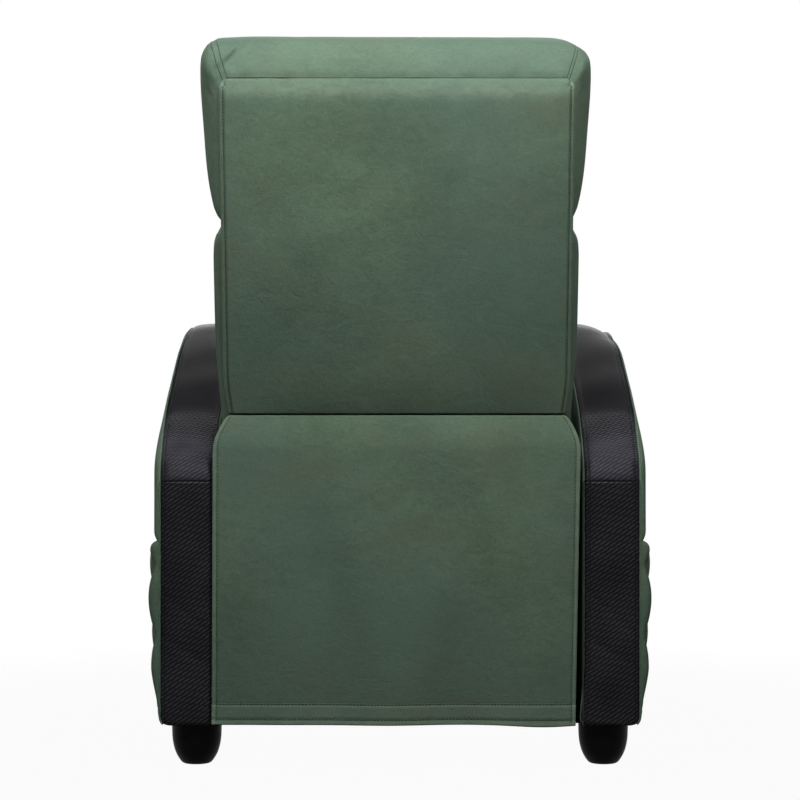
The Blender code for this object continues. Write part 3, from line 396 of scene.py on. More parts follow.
def wovenBand(name):
    # a twill of short slanted ribs: each row starts a third of a rib after the one below
    nodes = newMaterial(name)
    cloth = nodes.add("UVMap", uv_map="cloth").outputs[0]
    across, along = nodes.add("SeparateXYZ", {0: cloth}).outputs[:2]
    wobble = nodes.times(nodes.calc("SUBTRACT", nodes.noise(nodes.place, 22.0), 0.5), 0.004)
    rise = nodes.plus(along, nodes.times(across, weave["slant"]))
    rows = nodes.calc("DIVIDE", nodes.plus(rise, wobble), weave["pitch"])
    shift = nodes.times(nodes.calc("FLOOR", rows), 0.37)
    inRib = nodes.calc("FRACT", nodes.plus(nodes.calc("DIVIDE", across, weave["run"]), shift))
    ridge = nodes.calc("SINE", nodes.times(nodes.calc("FRACT", rows), math.pi))
    ends = nodes.calc("POWER", nodes.calc("SINE", nodes.times(inRib, math.pi)), 0.35)
    # the ribs are drawn flat over the crest, and a painted highlight lightens the band above the rear seam
    height = nodes.times(nodes.calc("POWER", ridge, 2.0), ends)
    height = nodes.times(height, nodes.marked("ribs"))
    yarn = nodes.noise(nodes.place, 700.0, 2.0)
    raised = nodes.times(height, nodes.spread(yarn, 0.3, 0.7, 0.7, 1.0))
    # painted light and shade of soft folds, times the painted shoulder highlight
    paintedLight = nodes.spread(nodes.noise(nodes.place, 13.0, 3.0), 0.35, 0.65, 0.82, 1.2)
    paintedLight = nodes.times(paintedLight, nodes.marked("shoulderHighlight"))
    relief = nodes.bump(height, weave["relief"], 0.9)
    nodes.look(
        Base_Color=nodes.shaded(nodes.mix(raised, weave["dark"], weave["light"]), paintedLight),
        Roughness=nodes.spread(height, 0.0, 1.0, 0.46, 0.37),
        Specular_IOR_Level=0.006, Metallic=0.4, Specular_Tint=(0.1, 0.1, 0.1, 1),
        Sheen_Weight=0.03, Sheen_Roughness=0.42, Sheen_Tint=(0.86, 0.86, 1.0, 1),
        Normal=nodes.bump(yarn, 0.0002, 0.4, relief),
    )
    return nodes.owner


def plainFinish(name, colour, roughness, metallic=0.0, grain=(300.0, 0.00015), **sockets):
    # one colour with faint clouding, uneven gloss and a fine grain
    nodes = newMaterial(name)
    cloud = nodes.noise(nodes.place, 30.0, 4.0)
    low, high = ([c * (1 + mottle) for c in colour] + [1] for mottle in (-0.12, 0.12))
    nodes.look(
        Base_Color=nodes.mix(nodes.spread(cloud, 0.35, 0.65), low, high),
        Roughness=nodes.spread(cloud, 0.3, 0.7, roughness * 0.88, min(1.0, roughness * 1.12)),
        Metallic=metallic,
        Normal=nodes.bump(nodes.noise(nodes.place, grain[0], 2.0), grain[1], 0.5),
        **sockets,
    )
    return nodes.owner


def plywood(name):
    # rotary-cut face veneer with stretched grain, and pale and dark plies on the sawn edges
    nodes = newMaterial(name)
    figure = nodes.noise(nodes.stretched((9.0, 3.0, 60.0)), 2.6, 6.0, 0.6, 1.4)
    veneer = nodes.spread(figure, 0.3, 0.7)
    colour = nodes.mix(veneer, (0.42, 0.27, 0.13, 1), (0.62, 0.45, 0.26, 1))
    wave = {"Vector": nodes.place, "Scale": 210.0, "Distortion": 0.6, "Detail": 1.0}
    plies = nodes.add("TexWave", wave, bands_direction="X").outputs["Fac"]
    normal = nodes.add("TexCoord").outputs["Normal"]
    facing = nodes.calc("ABSOLUTE", nodes.add("SeparateXYZ", {0: normal}).outputs[0])
    layered = nodes.mix(plies, (0.3, 0.18, 0.09, 1), (0.55, 0.4, 0.23, 1))
    edge = nodes.times(nodes.spread(facing, 0.6, 0.3), 0.6)
    nodes.look(
        Base_Color=nodes.mix(edge, colour, layered),
        Roughness=nodes.spread(figure, 0.3, 0.7, 0.6, 0.78),
        Normal=nodes.bump(figure, 0.0006, 0.4),
    )
    return nodes.owner


coverGreen = brushedCover("brushed_green_cover")
# a lighter copy of the cover: painted highlight for the outer welts
coverEdgeHighlight = brushedCover("brushed_green_cover_painted_highlight", 1.15)
# a darker copy of the cover without gloss: painted shade for the arms' inner faces and the rail covers between the
# cushions
coverPaintedShade = brushedCover("brushed_green_cover_painted_shade", 0.4, 0.0, 0.0)
blackWeave = wovenBand("black_woven_cover")
threadGrain = (2400.0, 0.00008)
greenThread = plainFinish(
    "dark_green_thread", (0.016, 0.027, 0.018), 0.6, grain=threadGrain, Specular_IOR_Level=0.1)
blackThread = plainFinish(
    "black_thread", (0.003, 0.003, 0.004), 0.5, grain=threadGrain, Specular_IOR_Level=0.05)
moulded = plainFinish(
    "black_moulded_foot", (0.0022,) * 3, 0.42, grain=(520.0, 0.0001), Specular_IOR_Level=0.03)
barePly = plywood("birch_plywood")
coatedSteel = plainFinish(
    "black_coated_steel", (0.014, 0.014, 0.015), 0.4, grain=(900.0, 0.00008))
lining = plainFinish(
    "black_lining_cloth", (0.005, 0.005, 0.0056), 0.86, grain=(1400.0, 0.0002),
    Specular_IOR_Level=0.0)
springSteel = plainFinish("oiled_spring_wire", (0.2, 0.2, 0.21), 0.36, 1.0)


def dress(piece, material, body):
    piece.data.materials.clear()
    piece.data.materials.append(material)
    if body:
        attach(piece, body)
    return piece


def upholster(piece, body, fill, *nodes, finish=coverGreen, slot="green_cover"):
    # a padded cover and the CAD nodes that it stands for
    dress(piece, finish, body)
    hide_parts(*nodes)


def sew(name, rows, body, finish=greenThread):
    return dress(stitches(name, rows), finish, body)


print("materials made")


# ---------- spacing and padding profiles ----------
def edgeSpaced(half, fine, band, coarse):
    # places from -half to half, closely spaced within band of both ends
    close = np.linspace(0, band, max(3, int(band / fine)))
    middle = np.linspace(-half + band, half - band, max(3, int((2 * half - 2 * band) / coarse)))
    return np.concatenate([-half + close, middle[1:-1], half - close[::-1]])


def roll(distance, radius):
    # a quarter round: 0 at the edge, 1 from one radius in
    t = 1 - np.clip(distance / radius, 0, 1)
    return np.sqrt(np.maximum(1 - t * t, 0))


def groove(distance, width):
    return np.exp(-((distance / width) ** 2))


def ripples(a, b, waves):
    # soft unevenness of a stuffed surface: a few sines of (waves per metre in a, in b, phase)
    total = 0
    for inA, inB, phase in waves:
        total = total + np.sin(math.tau * (inA * a + inB * b) + phase)
    return total / len(waves)


def roundCorners(a, b, halfA, halfB, radius):
    # the square corners of a grid drawn in to quarter rounds
    coreA = np.clip(a, radius - halfA, halfA - radius)
    coreB = np.clip(b, radius - halfB, halfB - radius)
    outA, outB = a - coreA, b - coreB
    longest = np.maximum(np.abs(outA), np.abs(outB))
    scale = longest / np.maximum(np.hypot(outA, outB), 1e-9)
    return coreA + outA * scale, coreB + outB * scale


# ---------- arms ----------
arm = {
    # depth from the rear face and height above the floor of the padded outline
    "outline": (
        (0.0, 0.4114), (0.0102, 0.4326), (0.056, 0.467), (0.158, 0.5175), (0.282, 0.5716),
        (0.431, 0.627), (0.5, 0.6453), (0.56, 0.65), (0.616, 0.6313), (0.6615, 0.5886),
        (0.6895, 0.5184), (0.7, 0.4278),
    ),
    # run past the rear seam, and how far the outer edge of the band leans outwards there
    "lean": (
        (0, 0), (0.05, 0.0012), (0.11, 0.0034), (0.19, 0.0062), (0.42, 0.0065), (0.52, 0.004),
        (0.62, 0.001), (0.75, 0),
    ),
    # how plain the ribs stand and how much a painted highlight lightens the band, by the run past the rear seam
    "ribs": ((-0.004, 1), (0, 0.42), (0.075, 0.5), (0.1, 1.35), (0.155, 1.35), (0.178, 0.25)),
    "shoulderHighlight": (
        (-0.003, 0.9), (0.002, 1.15), (0.026, 1.25), (0.042, 2.6), (0.075, 3.2), (0.1, 1.9),
        (0.15, 1.1), (0.2, 0.9),
    ),
    "rearSeam": 0.4086,  # heights of the band's sewn seams above the floor
    "frontSeam": 0.4278,
    "below": 0.0062,  # how far the covers reach below the boards
    "slump": {1: 0.002, -1: 0.0185},  # how far the crest's outer edge has settled, left and right
    "slumpAt": 0.54,  # depth of the settled crest from the arm's rear face, and its reach
    "slumpReach": 0.11,
    "bandCrown": 0.0028,
    "bandRim": 0.0072,
    "bandRoll": 0.015,
    "bandDepth": 0.0125,
    "seamDepth": 0.001,
    "footLean": 0.0064,  # the right arm's rear inner corner leans to the curtain
    "weltRadius": 0.0015,
    "weltInset": 0.0046,
    "topstitchInset": 0.0066,
    "innerLean": ((0, 0), (0.08, 0.0018), (0.15, 0.0037), (0.38, 0.004), (0.46, 0.0024), (0.56, 0)),
    "coverStart": 0.0022,
    "coverRoll": 0.02,
    "coverSideRoll": 0.075,
    "coverCrown": 0.0098,
    "quiltHigh": 0.2635,
    "quiltPitch": 0.1,
    "quiltPhase": 0.0286,
    "quiltBody": 0.0055,
    "quiltPuff": 0.0115,
    "quiltFade": (
        (0, 0.03), (0.009, 0.06), (0.02, 0.26), (0.034, 0.42), (0.08, 0.68), (0.13, 0.8),
        (0.2, 0.93), (0.26, 1.0),
    ),
}
rearBox = corners("arm_band_rear_left")
frontBox = corners("arm_band_front_left")
armRear, armFront = rearBox[1][1], frontBox[0][1]
armLow = rearBox[0][2] - arm["below"]
bandInner, bandOuter = rearBox[0][0], rearBox[1][0]
bandHalf, bandMiddle = (bandOuter - bandInner) / 2, (bandInner + bandOuter) / 2


def armLine(inset=0.0, spacing=0.004):
    # rear foot, over the crest, to the front foot: (y, z) points moved inwards by inset
    shape = [(armRear - d, z) for d, z in arm["outline"]]
    seams = np.array([(armRear, armLow), (armRear, armLow + 0.12), (armRear, armLow + 0.24)])
    ends = np.array([(armFront, armLow + 0.24), (armFront, armLow + 0.12), (armFront, armLow)])
    line = smoothLine(np.concatenate([seams, shape, ends]), spacing)
    line[:, 0] = np.clip(line[:, 0], armFront, armRear)
    tangent = unit(np.gradient(line, axis=0))
    inward = np.stack([-tangent[:, 1], tangent[:, 0]], -1)
    return line + inward * inset, -inward


outline, outlineNormals = armLine()
outlineRun = runAlong(outline)
rearSeam = arm["rearSeam"] - armLow
frontSeam = outlineRun[-1] - (arm["frontSeam"] - armLow)


def bandLean(run):
    return np.interp(run - rearSeam, *zip(*arm["lean"]))


def crestSlump(side, depth):
    # depth: distance from the arm's rear face
    return arm["slump"][side] * groove(depth - arm["slumpAt"], arm["slumpReach"])


def bandHeight(across, run, side):
    # crowned between its edges, rolled down to the two welts, with a sewn seam front and rear
    edge = bandHalf - np.abs(across)
    height = arm["bandCrown"] * (1 - (across / bandHalf) ** 2) - 0.0006
    height = height - arm["bandRim"] * (1 - roll(edge, arm["bandRoll"]))
    for seam in (rearSeam, frontSeam):
        height = height - arm["seamDepth"] * groove(run - seam, 0.0011)
        height = height + 0.0004 * groove(run - seam + 0.0028, 0.0012)
    height = height - 0.0007 * groove(edge - arm["topstitchInset"], 0.0013)
    ends = np.minimum(run, outlineRun[-1] - run)
    height = height - 0.006 * (1 - roll(ends, 0.007))
    waves = ((3.1, 2.3, 0.4), (-2.2, 4.6, 1.9), (5.0, 7.4, 4.0))
    height = height + 0.0009 * ripples(across, run, waves)
    depth = armRear - np.interp(run, outlineRun, outline[:, 0])
    outward = np.clip(across * side / bandHalf * 0.5 + 0.5, 0, 1)
    height = height - crestSlump(side, depth) * outward**3
    creases = groove(run - 0.16 - across * 0.9, 0.006) + groove(run - 0.105 - across * 0.6, 0.005)
    return height - 0.0014 * creases * roll(edge, 0.03)


def cornerDraw(up):
    # how far the padded corners draw in towards the middle at a height above the lower edge
    return 0.0105 * (1 - roll(up, 0.013))


def placeOnArm(middle, across, run, height):
    # a place given by its distance across the band, its run along it and its height off it
    at = readOff(run, outlineRun, outline)
    out = unit(readOff(run, outlineRun, outlineNormals))
    lean = bandLean(run) * np.sign(middle)
    x = middle + across * (1 + np.abs(lean) * 5) + lean * 0.8
    if middle < 0:
        inner = np.clip(across / (bandOuter - bandInner) + 0.5, 0, 1)
        x = x + arm["footLean"] * inner**2 * np.clip(1 - run / 0.09, 0, 1) ** 1.5
    return xyz(x, at[..., 0] + out[..., 0] * height, at[..., 1] + out[..., 1] * height)


def makeBand(sideName, side):
    middle, last = side * bandMiddle, outlineRun[-1]
    across = edgeSpaced(bandHalf, 0.001, 0.014, 0.004)
    run = np.unique(np.concatenate([
        np.arange(0, last, 0.005), [last],
        *[np.linspace(s - 0.005, s + 0.005, 11) for s in (rearSeam, frontSeam)],
        np.linspace(0, 0.008, 7), last - np.linspace(0, 0.008, 7),
    ]))
    across, run = np.meshgrid(across, run)
    height = bandHeight(across, run, side)
    drawn = np.sign(across) * (np.abs(across) / bandHalf) ** 4
    drawn = drawn * cornerDraw(np.minimum(run, last - run))
    outer = placeOnArm(middle, across - drawn, run, height)
    inner = placeOnArm(middle, across - drawn, run, -arm["bandDepth"])
    outer[..., 2] = np.maximum(outer[..., 2], armLow)
    uv = np.stack([outer[..., 0], run], -1)
    band = closedShell("arm_band_" + sideName, outer, inner, uv)
    past = np.where(run < last / 2, run - rearSeam, np.maximum(frontSeam - run, 0.18))
    past = np.where(run > frontSeam, -0.1, past)
    # marks for the ribs and for the painted shoulder highlight
    for name in ("ribs", "shoulderHighlight"):
        markPoints(band, name, np.interp(past, *zip(*arm[name])))
    nodes = ["arm_band_" + end + "_" + sideName for end in ("rear", "top", "front")]
    upholster(band, "base", 0.8, *nodes, finish=blackWeave, slot="black_weave")
    long = np.arange(0.006, last - 0.006, 0.003)
    reach = bandHalf - arm["topstitchInset"]
    wide = np.linspace(0.009 - bandHalf, bandHalf - 0.009, 30)
    rows = [onBand(middle, np.full_like(long, edge * reach), long) for edge in (-1, 1)]
    for seam in (rearSeam + 0.0004, frontSeam - 0.0004):
        rows.append(onBand(middle, wide, np.full_like(wide, seam)))
    sew("arm_band_stitches_" + sideName, rows, "base", blackThread)


def onBand(middle, across, run):
    height = bandHeight(across, run, int(np.sign(middle)))
    path = placeOnArm(middle, across, run, height)
    return path, unit(placeOnArm(middle, across, run, height + 0.01) - path)


def makeWelts(sideName, side):
    # the folded edge of the green cover, caught between the band and the side covers
    last = outlineRun[-1]
    run = np.concatenate([
        np.linspace(0.002, 0.02, 12), np.linspace(0.025, last - 0.025, 260),
        last - np.linspace(0.02, 0.002, 12),
    ])
    depth = armRear - np.interp(run, outlineRun, outline[:, 0])
    reach = bandHalf + seamGap - cornerDraw(np.minimum(run, last - run))
    # the outer welts take the lighter copy of the cover, a painted highlight
    welts = (("inner", -1, 0.7, coverGreen), ("outer", 1, 1, coverEdgeHighlight))
    for edgeName, outward, share, finish in welts:
        drop = arm["weltInset"] + (crestSlump(side, depth) if outward > 0 else 0)
        path = placeOnArm(side * bandMiddle, side * outward * reach, run, -drop)
        path[:, 2] = np.maximum(path[:, 2], armLow + 0.001)
        welt = tube("arm_welt_" + edgeName + "_" + sideName, path, arm["weltRadius"] * share)
        dress(welt, finish, "base")


def topEdge(y):
    # height of the arm's outline at a depth, for the side covers
    line, _ = armLine(0.0046, 0.002)
    line = line[np.argsort(line[:, 0])]
    line = line[line[:, 1] > 0.36]
    return np.interp(y, line[:, 0], line[:, 1])


coverRear, coverFront = armRear - 0.0025, armFront + 0.0025
quiltTop = armLow + arm["quiltHigh"]
sideBase = bandOuter + seamGap


def halfWave(count):
    # 0 to 1, closely spaced at both ends
    return 0.5 - 0.5 * np.cos(np.linspace(0, np.pi, count))


def coverGrid(low):
    y, share = np.meshgrid(coverRear + (coverFront - coverRear) * halfWave(190), halfWave(56))
    top = topEdge(y)
    return y, low + share * (top - low), top


def makeOuterCover(sideName, side):
    # smooth upper side: rolled at its rim and gently crowned
    y, z, top = coverGrid(quiltTop + seamGap)
    share = (z - quiltTop) / (top - quiltTop)
    settled = crestSlump(side, armRear - y)
    z, top = z - settled * share**2, top - settled
    slope = np.abs(np.gradient(top, axis=1) / np.gradient(y, axis=1))
    toTop = (top - z) / np.sqrt(1 + np.minimum(slope, 3) ** 2)
    edge = np.minimum(toTop, z - quiltTop + 0.004)
    toSide = np.minimum(coverRear - y, y - coverFront) + 0.008
    full = roll(edge, arm["coverRoll"] + 1.8 * settled) * roll(toSide, arm["coverSideRoll"])
    body = arm["coverStart"] + arm["coverCrown"] * full - 0.0015 * groove(z - quiltTop, 0.006)
    body = body + 0.0007 * ripples(y, z, ((2.1, 3.0, 0.2), (3.7, -2.2, 2.0), (5.2, 4.1, 3.3)))
    outer, inner = xyz(side * (sideBase + body), y, z), xyz(side * sideBase, y, z)
    cover = closedShell("arm_outer_padding_" + sideName, outer, inner)
    upholster(cover, "base", 0.7, "arm_outer_cover_" + sideName)


def quiltHeight(y, z):
    # diamonds between two sets of slanted seams, fading where the panel tucks in below
    run = (coverRear - y) / arm["quiltPitch"]
    up = (z - armLow - arm["quiltPhase"]) / arm["quiltPitch"]
    seams = np.abs(np.sin(np.pi * (run + up)) * np.sin(np.pi * (run - up)))
    puff = seams**0.42
    edge = np.minimum(coverRear - y, y - coverFront)
    toTop, toLow = quiltTop - z, z - armLow
    body = roll(edge + 0.003, 0.012) * roll(toTop + 0.001, 0.02)
    swell = 0.0018 + (arm["quiltBody"] + arm["quiltPuff"] * puff) * body
    return 0.0002 + swell * np.interp(toLow, *zip(*arm["quiltFade"])) - cornerDraw(toLow)


def makeQuilt(sideName, side):
    y = np.linspace(coverRear, coverFront, 216)
    z = armLow + 0.007 + (arm["quiltHigh"] - 0.007) * halfWave(84)
    y, z = np.meshgrid(y, z)
    outer = xyz(side * (sideBase + quiltHeight(y, z)), y, z)
    inner = xyz(side * (sideBase - cornerDraw(z - armLow) - 0.0002), y, z)
    quilt = closedShell("arm_quilt_padding_" + sideName, outer, inner)
    upholster(quilt, "base", 0.85, "arm_quilt_" + sideName)
    rows = []
    up = np.linspace(0.004, arm["quiltHigh"] - 0.004, 90)
    for slant in (1, -1):
        for start in np.arange(-4, 12) * arm["quiltPitch"]:
            run = start + slant * (up - arm["quiltPhase"])
            keep = (run > 0.0012) & (run < coverRear - coverFront - 0.0012)
            if keep.sum() < 8:
                continue
            y, z = coverRear - run[keep], armLow + up[keep]
            rows.append((xyz(side * (sideBase + quiltHeight(y, z)), y, z), (side, 0, 0)))
    sew("arm_quilt_stitches_" + sideName, rows, "base")


def makeInnerCover(sideName, side):
    low, high = corners("arm_inner_cover_" + sideName)
    near, far = sorted((abs(low[0]), abs(high[0])))
    y, z, top = coverGrid(armLow)
    edge = np.minimum(coverRear - y, y - coverFront)
    edge = np.minimum(edge, np.minimum(top - z, z - armLow + 0.01))
    body = 0.0012 + (far - near - 0.0016) * roll(edge, 0.006)
    # the top edge follows the band outwards
    lean = np.interp(armRear - y, *zip(*arm["innerLean"])) * np.clip((z - top + 0.01) / 0.01, 0, 1)
    outer, inner = xyz(side * (far - body + lean), y, z), xyz(side * (far + lean), y, z)
    cover = closedShell("arm_inner_padding_" + sideName, outer, inner)
    # the inner face takes the darker copy of the cover: painted shade
    upholster(cover, "base", 0.3, "arm_inner_cover_" + sideName, finish=coverPaintedShade)


foot = {
    # radius and height, from the neck under the arm down to the flat base
    "profile": (
        (0.0361, 0.0652), (0.036, 0.056), (0.0357, 0.046), (0.0354, 0.039), (0.0347, 0.0325),
        (0.0335, 0.026), (0.0317, 0.0195), (0.0293, 0.0135), (0.0265, 0.0085), (0.0238, 0.0045),
        (0.0215, 0.0018), (0.0192, 0.0004), (0.0175, 0.0),
    ),
    "glide": ((0.002, 0.0012), (0.0135, 0.0012), (0.0138, 0.0008), (0.0132, 0.0)),
}


def makeFoot(name):
    low, high = corners(name)
    x, y, _ = (low + high) / 2
    made = turned(name + "_moulding", smoothLine(foot["profile"], 0.0015), (x, y, 0), 56)
    dress(made, moulded, "base")
    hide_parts(name)
    glide = turned(name + "_glide", foot["glide"], (x, y, -0.0008), 32)
    dress(glide, coatedSteel, "base")


for sideName, side in sides:
    makeBand(sideName, side)
    makeWelts(sideName, side)
    makeOuterCover(sideName, side)
    makeQuilt(sideName, side)
    makeInnerCover(sideName, side)
    makeFoot("foot_rear_" + sideName)
    makeFoot("foot_front_" + sideName)
print("arms made")


# ---------- rear panel ----------
panel = {
    "halfWidth": 0.2482,
    "low": 0.1232,
    "high": 0.6025,
    "rear": 0.065,
    "edge": 0.0125,
    "crown": 0.0065,
    "corner": 0.016,
    "roll": 0.009,
    "topRoll": 0.03,
    "flange": 0.0062,
    "taper": 0.0062,  # how far each side draws in at the lower end
    "shift": 0.0042,  # the cover sits a little towards the sitter's left
}
panelHalf, panelMiddle = (panel["high"] - panel["low"]) / 2, (panel["high"] + panel["low"]) / 2


def panelDepth(x, up):
    # rolled rim, a stitched flange at the sides, and shallow gathers below the top seam
    toSide = panel["halfWidth"] - np.abs(x)
    toTop, toLow = panel["high"] - up, up - panel["low"]
    rim = np.minimum(toSide, np.minimum(toTop, toLow))
    rolled = roll(toSide, panel["roll"]) * roll(toLow, 0.0036) * roll(toTop, panel["topRoll"])
    depth = panel["edge"] * (0.12 + 0.88 * rolled)
    share = (1 - (x / panel["halfWidth"]) ** 4) * (1 - ((up - panelMiddle) / panelHalf) ** 6)
    depth = depth + panel["crown"] * share
    flange = groove(toSide - panel["flange"], 0.0017) * roll(toTop, 0.02) * roll(toLow, 0.01)
    depth = depth - 0.0032 * flange
    gather = np.sin(math.tau * x / 0.061 + 1.1) + 0.6 * np.sin(math.tau * x / 0.034 + 0.3)
    depth = depth + 0.0009 * gather * groove(toTop - 0.01, 0.014)
    waves = ((1.9, 1.4, 0.6), (-1.2, 2.7, 2.2), (3.3, 1.1, 4.1))
    return depth + 0.0011 * ripples(x, up, waves) * roll(rim, 0.06)


def panelX(x, up):
    # the sides draw in over the lowest 55 mm
    low = np.clip(1 - (up - panel["low"]) / 0.055, 0, 1) ** 1.3
    return x * (1 - panel["taper"] / panel["halfWidth"] * low) + panel["shift"]


def makeRearPanel():
    half, rear = panel["halfWidth"], panel["rear"]
    x, up = edgeSpaced(half, 0.0009, 0.018, 0.005), edgeSpaced(panelHalf, 0.0012, 0.024, 0.005)
    x, up = np.meshgrid(x, up)
    xRound, upRound = roundCorners(x, up, half, panelHalf, panel["corner"])
    xRound, upRound = np.where(up < 0, x, xRound), np.where(up < 0, up, upRound) + panelMiddle
    across = panelX(xRound, upRound)
    outer = backToWorld(xyz(across, rear + panelDepth(x, up + panelMiddle), upRound))
    inner = backToWorld(xyz(across, rear + 0.0004, upRound))
    made = closedShell("back_rear_panel_cover", outer, inner)
    # painted highlight on the side flanges' ridges and on the rolled top below the seam
    paintedHighlight = 0.4 * groove(half - np.abs(x) - 0.002, 0.0016)
    paintedHighlight = paintedHighlight + 0.3 * groove(panel["high"] - up - panelMiddle - 0.016, 0.01)
    markPoints(made, "paintedHighlight", np.clip(paintedHighlight, 0, 1))
    upholster(made, "back", 0.7, "back_rear_panel")
    along = np.linspace(0.012 - half, half - 0.012, 120)
    seam = xyz(along + panel["shift"], rear + 0.0012, panel["high"] + 0.0004)
    width = 0.00038 + 0.0006 * groove(along - 0.2, 0.07) + 0.00035 * groove(along + 0.02, 0.06)
    line = tube("back_rear_panel_top_seam", backToWorld(seam), width)
    dress(line, greenThread, "back")
    rows, up = [], np.linspace(panel["low"] + 0.003, panel["high"] - 0.012, 120)
    for edge in (-1, 1):
        x = np.full_like(up, edge * (half - panel["flange"]))
        path = backToWorld(xyz(panelX(x, up), rear + panelDepth(x, up), up))
        rows.append((path, turnToBack((0, 1, 0))))
    sew("back_rear_panel_stitches", rows, "back")


makeRearPanel()
print("rear panel made")


# ---------- rear curtain ----------
curtain = {
    "halfWidth": 0.2596,
    "topHalfWidth": 0.2393,
    "corner": 0.048,
    "cut": (
        (0, 0), (0.164, 0.034), (0.33, 0.125), (0.525, 0.284), (0.71, 0.47), (0.87, 0.66),
        (0.96, 0.83), (1, 1),
    ),
    "low": 0.062,
    "shift": 0.0092,
    "thickness": 0.0016,
    "hemHigh": 0.0305,
    "hemStitch": 0.0075,
    "sideStitch": 0.0065,
    "flare": 0.0035,
    "bendFrom": (0, 0.297, 0.435),  # a place at the curtain's hang; nothing below reads it
}
curtainTop = backToWorld(np.array([0, panel["rear"] + 0.0142, panel["low"] + 0.0008]))
hemTop = curtain["low"] + curtain["hemHigh"]


def hangShare(z):
    # 0 at the panel, 1 at the hem
    return (curtainTop[2] - z) / (curtainTop[2] - curtain["low"])


def cornerShare(z):
    return np.clip((z - (curtainTop[2] - curtain["corner"])) / curtain["corner"], 0, 1)


def hemShare(z):
    return np.clip((hemTop - z) / curtain["hemHigh"], 0, 1)


def curtainHalf(z):
    straight = curtain["halfWidth"] + 0.003 * np.clip((z - curtain["low"]) / 0.38, 0, 1)
    cut = np.interp(cornerShare(z), *zip(*curtain["cut"]))
    return straight + (curtain["topHalfWidth"] - straight) * cut


def curtainDepth(x, z):
    # hangs from the panel's lower edge over the arms' rear plane, with soft falls in its field
    hang, below = np.clip(hangShare(z), 0, 1), curtainTop[2] - z
    rest = armRear + 0.0022
    depth = rest + (curtainTop[1] - 0.0025 - rest) * cornerShare(z) ** 1.5
    toSide = curtainHalf(z) - np.abs(x)
    field = roll(toSide, 0.09)
    falls = 0.004 * np.sin(math.tau * (x * 3.4 + z * 0.35) + 0.8)
    falls = falls + 0.0022 * np.sin(math.tau * (x * 6.1 - z * 0.9) + 2.0)
    depth = depth + hang * field * (0.0045 + falls)
    drape = groove(x - 0.11 + below * 0.25, 0.035) + groove(x + 0.12 - below * 0.2, 0.03)
    depth = depth + 0.0034 * drape * np.sin(np.pi * hang) * field
    depth = depth - 0.0011 * groove(toSide - curtain["sideStitch"], 0.0016)
    depth = depth + curtain["flare"] * hemShare(z) + 0.0009 * (z < hemTop)
    depth = depth - 0.0012 * groove(z - hemTop + 0.002, 0.0016)
    return depth - 0.001 * groove(z - curtain["low"] - curtain["hemStitch"], 0.0016)


def curtainX(x, z):
    # the hem hangs further to the sitter's left than the panel sits
    return x + curtain["shift"] * hangShare(z) + panel["shift"] * (1 - hangShare(z))


def curtainRow(x, z):
    depth = curtainDepth(x, z) + curtain["thickness"]
    return xyz(curtainX(x, z), depth, z), (0, 1, 0)


def makeCurtain():
    low, top, half = curtain["low"], curtainTop[2], curtain["halfWidth"]
    z = np.unique(np.concatenate([
        np.linspace(low, hemTop - 0.004, 16), np.linspace(hemTop - 0.004, hemTop + 0.004, 13),
        np.arange(hemTop + 0.008, top - 0.006, 0.005), np.linspace(top - 0.006, top, 5),
    ]))
    share, z = np.meshgrid(edgeSpaced(1.0, 0.0045, 0.08, 0.02), z)
    x = share * curtainHalf(z)
    depth = curtainDepth(x, z)
    sag = 0.0028 * groove(x + 0.215, 0.05) * hemShare(z) ** 2
    outer = xyz(curtainX(x, z), depth + curtain["thickness"], z - sag)
    inner = xyz(curtainX(x, z), depth, z - sag)
    made = closedShell("rear_curtain_cloth", outer, inner)
    # painted highlight along the side edges and the lower edge, and a faint one over the hem strip
    paintedHighlight = 0.45 * groove(curtainHalf(z) - np.abs(x) - 0.0026, 0.003)
    paintedHighlight = paintedHighlight + 0.45 * groove(z - low - 0.002, 0.003) + 0.1 * np.clip((hemTop - z) / 0.004, 0, 1)
    markPoints(made, "paintedHighlight", np.clip(paintedHighlight, 0, 1))
    dress(made, coverGreen, None)
    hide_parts("rear_curtain")
    z = np.linspace(low + 0.006, top - 0.004, 130)
    rows = [curtainRow(edge * (curtainHalf(z) - curtain["sideStitch"]), z) for edge in (-1, 1)]
    wide = np.linspace(0.007 - half, half - 0.007, 130)
    for height in (low + curtain["hemStitch"], hemTop - 0.0022):
        rows.append(curtainRow(wide, np.full_like(wide, height)))
    seams = sew("rear_curtain_stitches", rows, None)
    for piece in (made, seams):
        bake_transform(piece)


makeCurtain()
print("rear curtain made")


# ---------- stuffed cushions ----------
stuffing = {
    "voxel": 0.006,
    "heldFade": 0.006,  # over which a held side passes into the free one
    "frames": 20,
    "cloth": {
        "quality": 5,
        "mass": 0.3,
        "tension_stiffness": 15,
        "compression_stiffness": 15,
        "shear_stiffness": 5,
        "bending_stiffness": 0.6,
        "use_pressure": True,
        "uniform_pressure_force": 4.0,
        "vertex_group_mass": "held",
    },
}


def roundedBox(half, radius, count):
    # a cube's six faces pulled on to a box with round edges, welded into one closed skin
    form = bmesh.new()
    bmesh.ops.create_cube(form, size=2)
    bmesh.ops.subdivide_edges(form, edges=form.edges[:], cuts=count, use_grid_fill=True)
    points = np.array([v.co for v in form.verts])
    spaced = np.sin(points * math.pi / 2) * half
    core = np.clip(spaced, radius - half, half - radius)
    out = spaced - core
    placed = core + unit(out) * np.abs(out).max(1, keepdims=True)
    faces = np.array([[v.index for v in f.verts] for f in form.faces])
    form.free()
    return points, placed, faces


def applyModifiers(piece):
    graph = bpy.context.evaluated_depsgraph_get()
    mesh = bpy.data.meshes.new_from_object(piece.evaluated_get(graph), depsgraph=graph)
    piece.modifiers.clear()
    piece.data = mesh


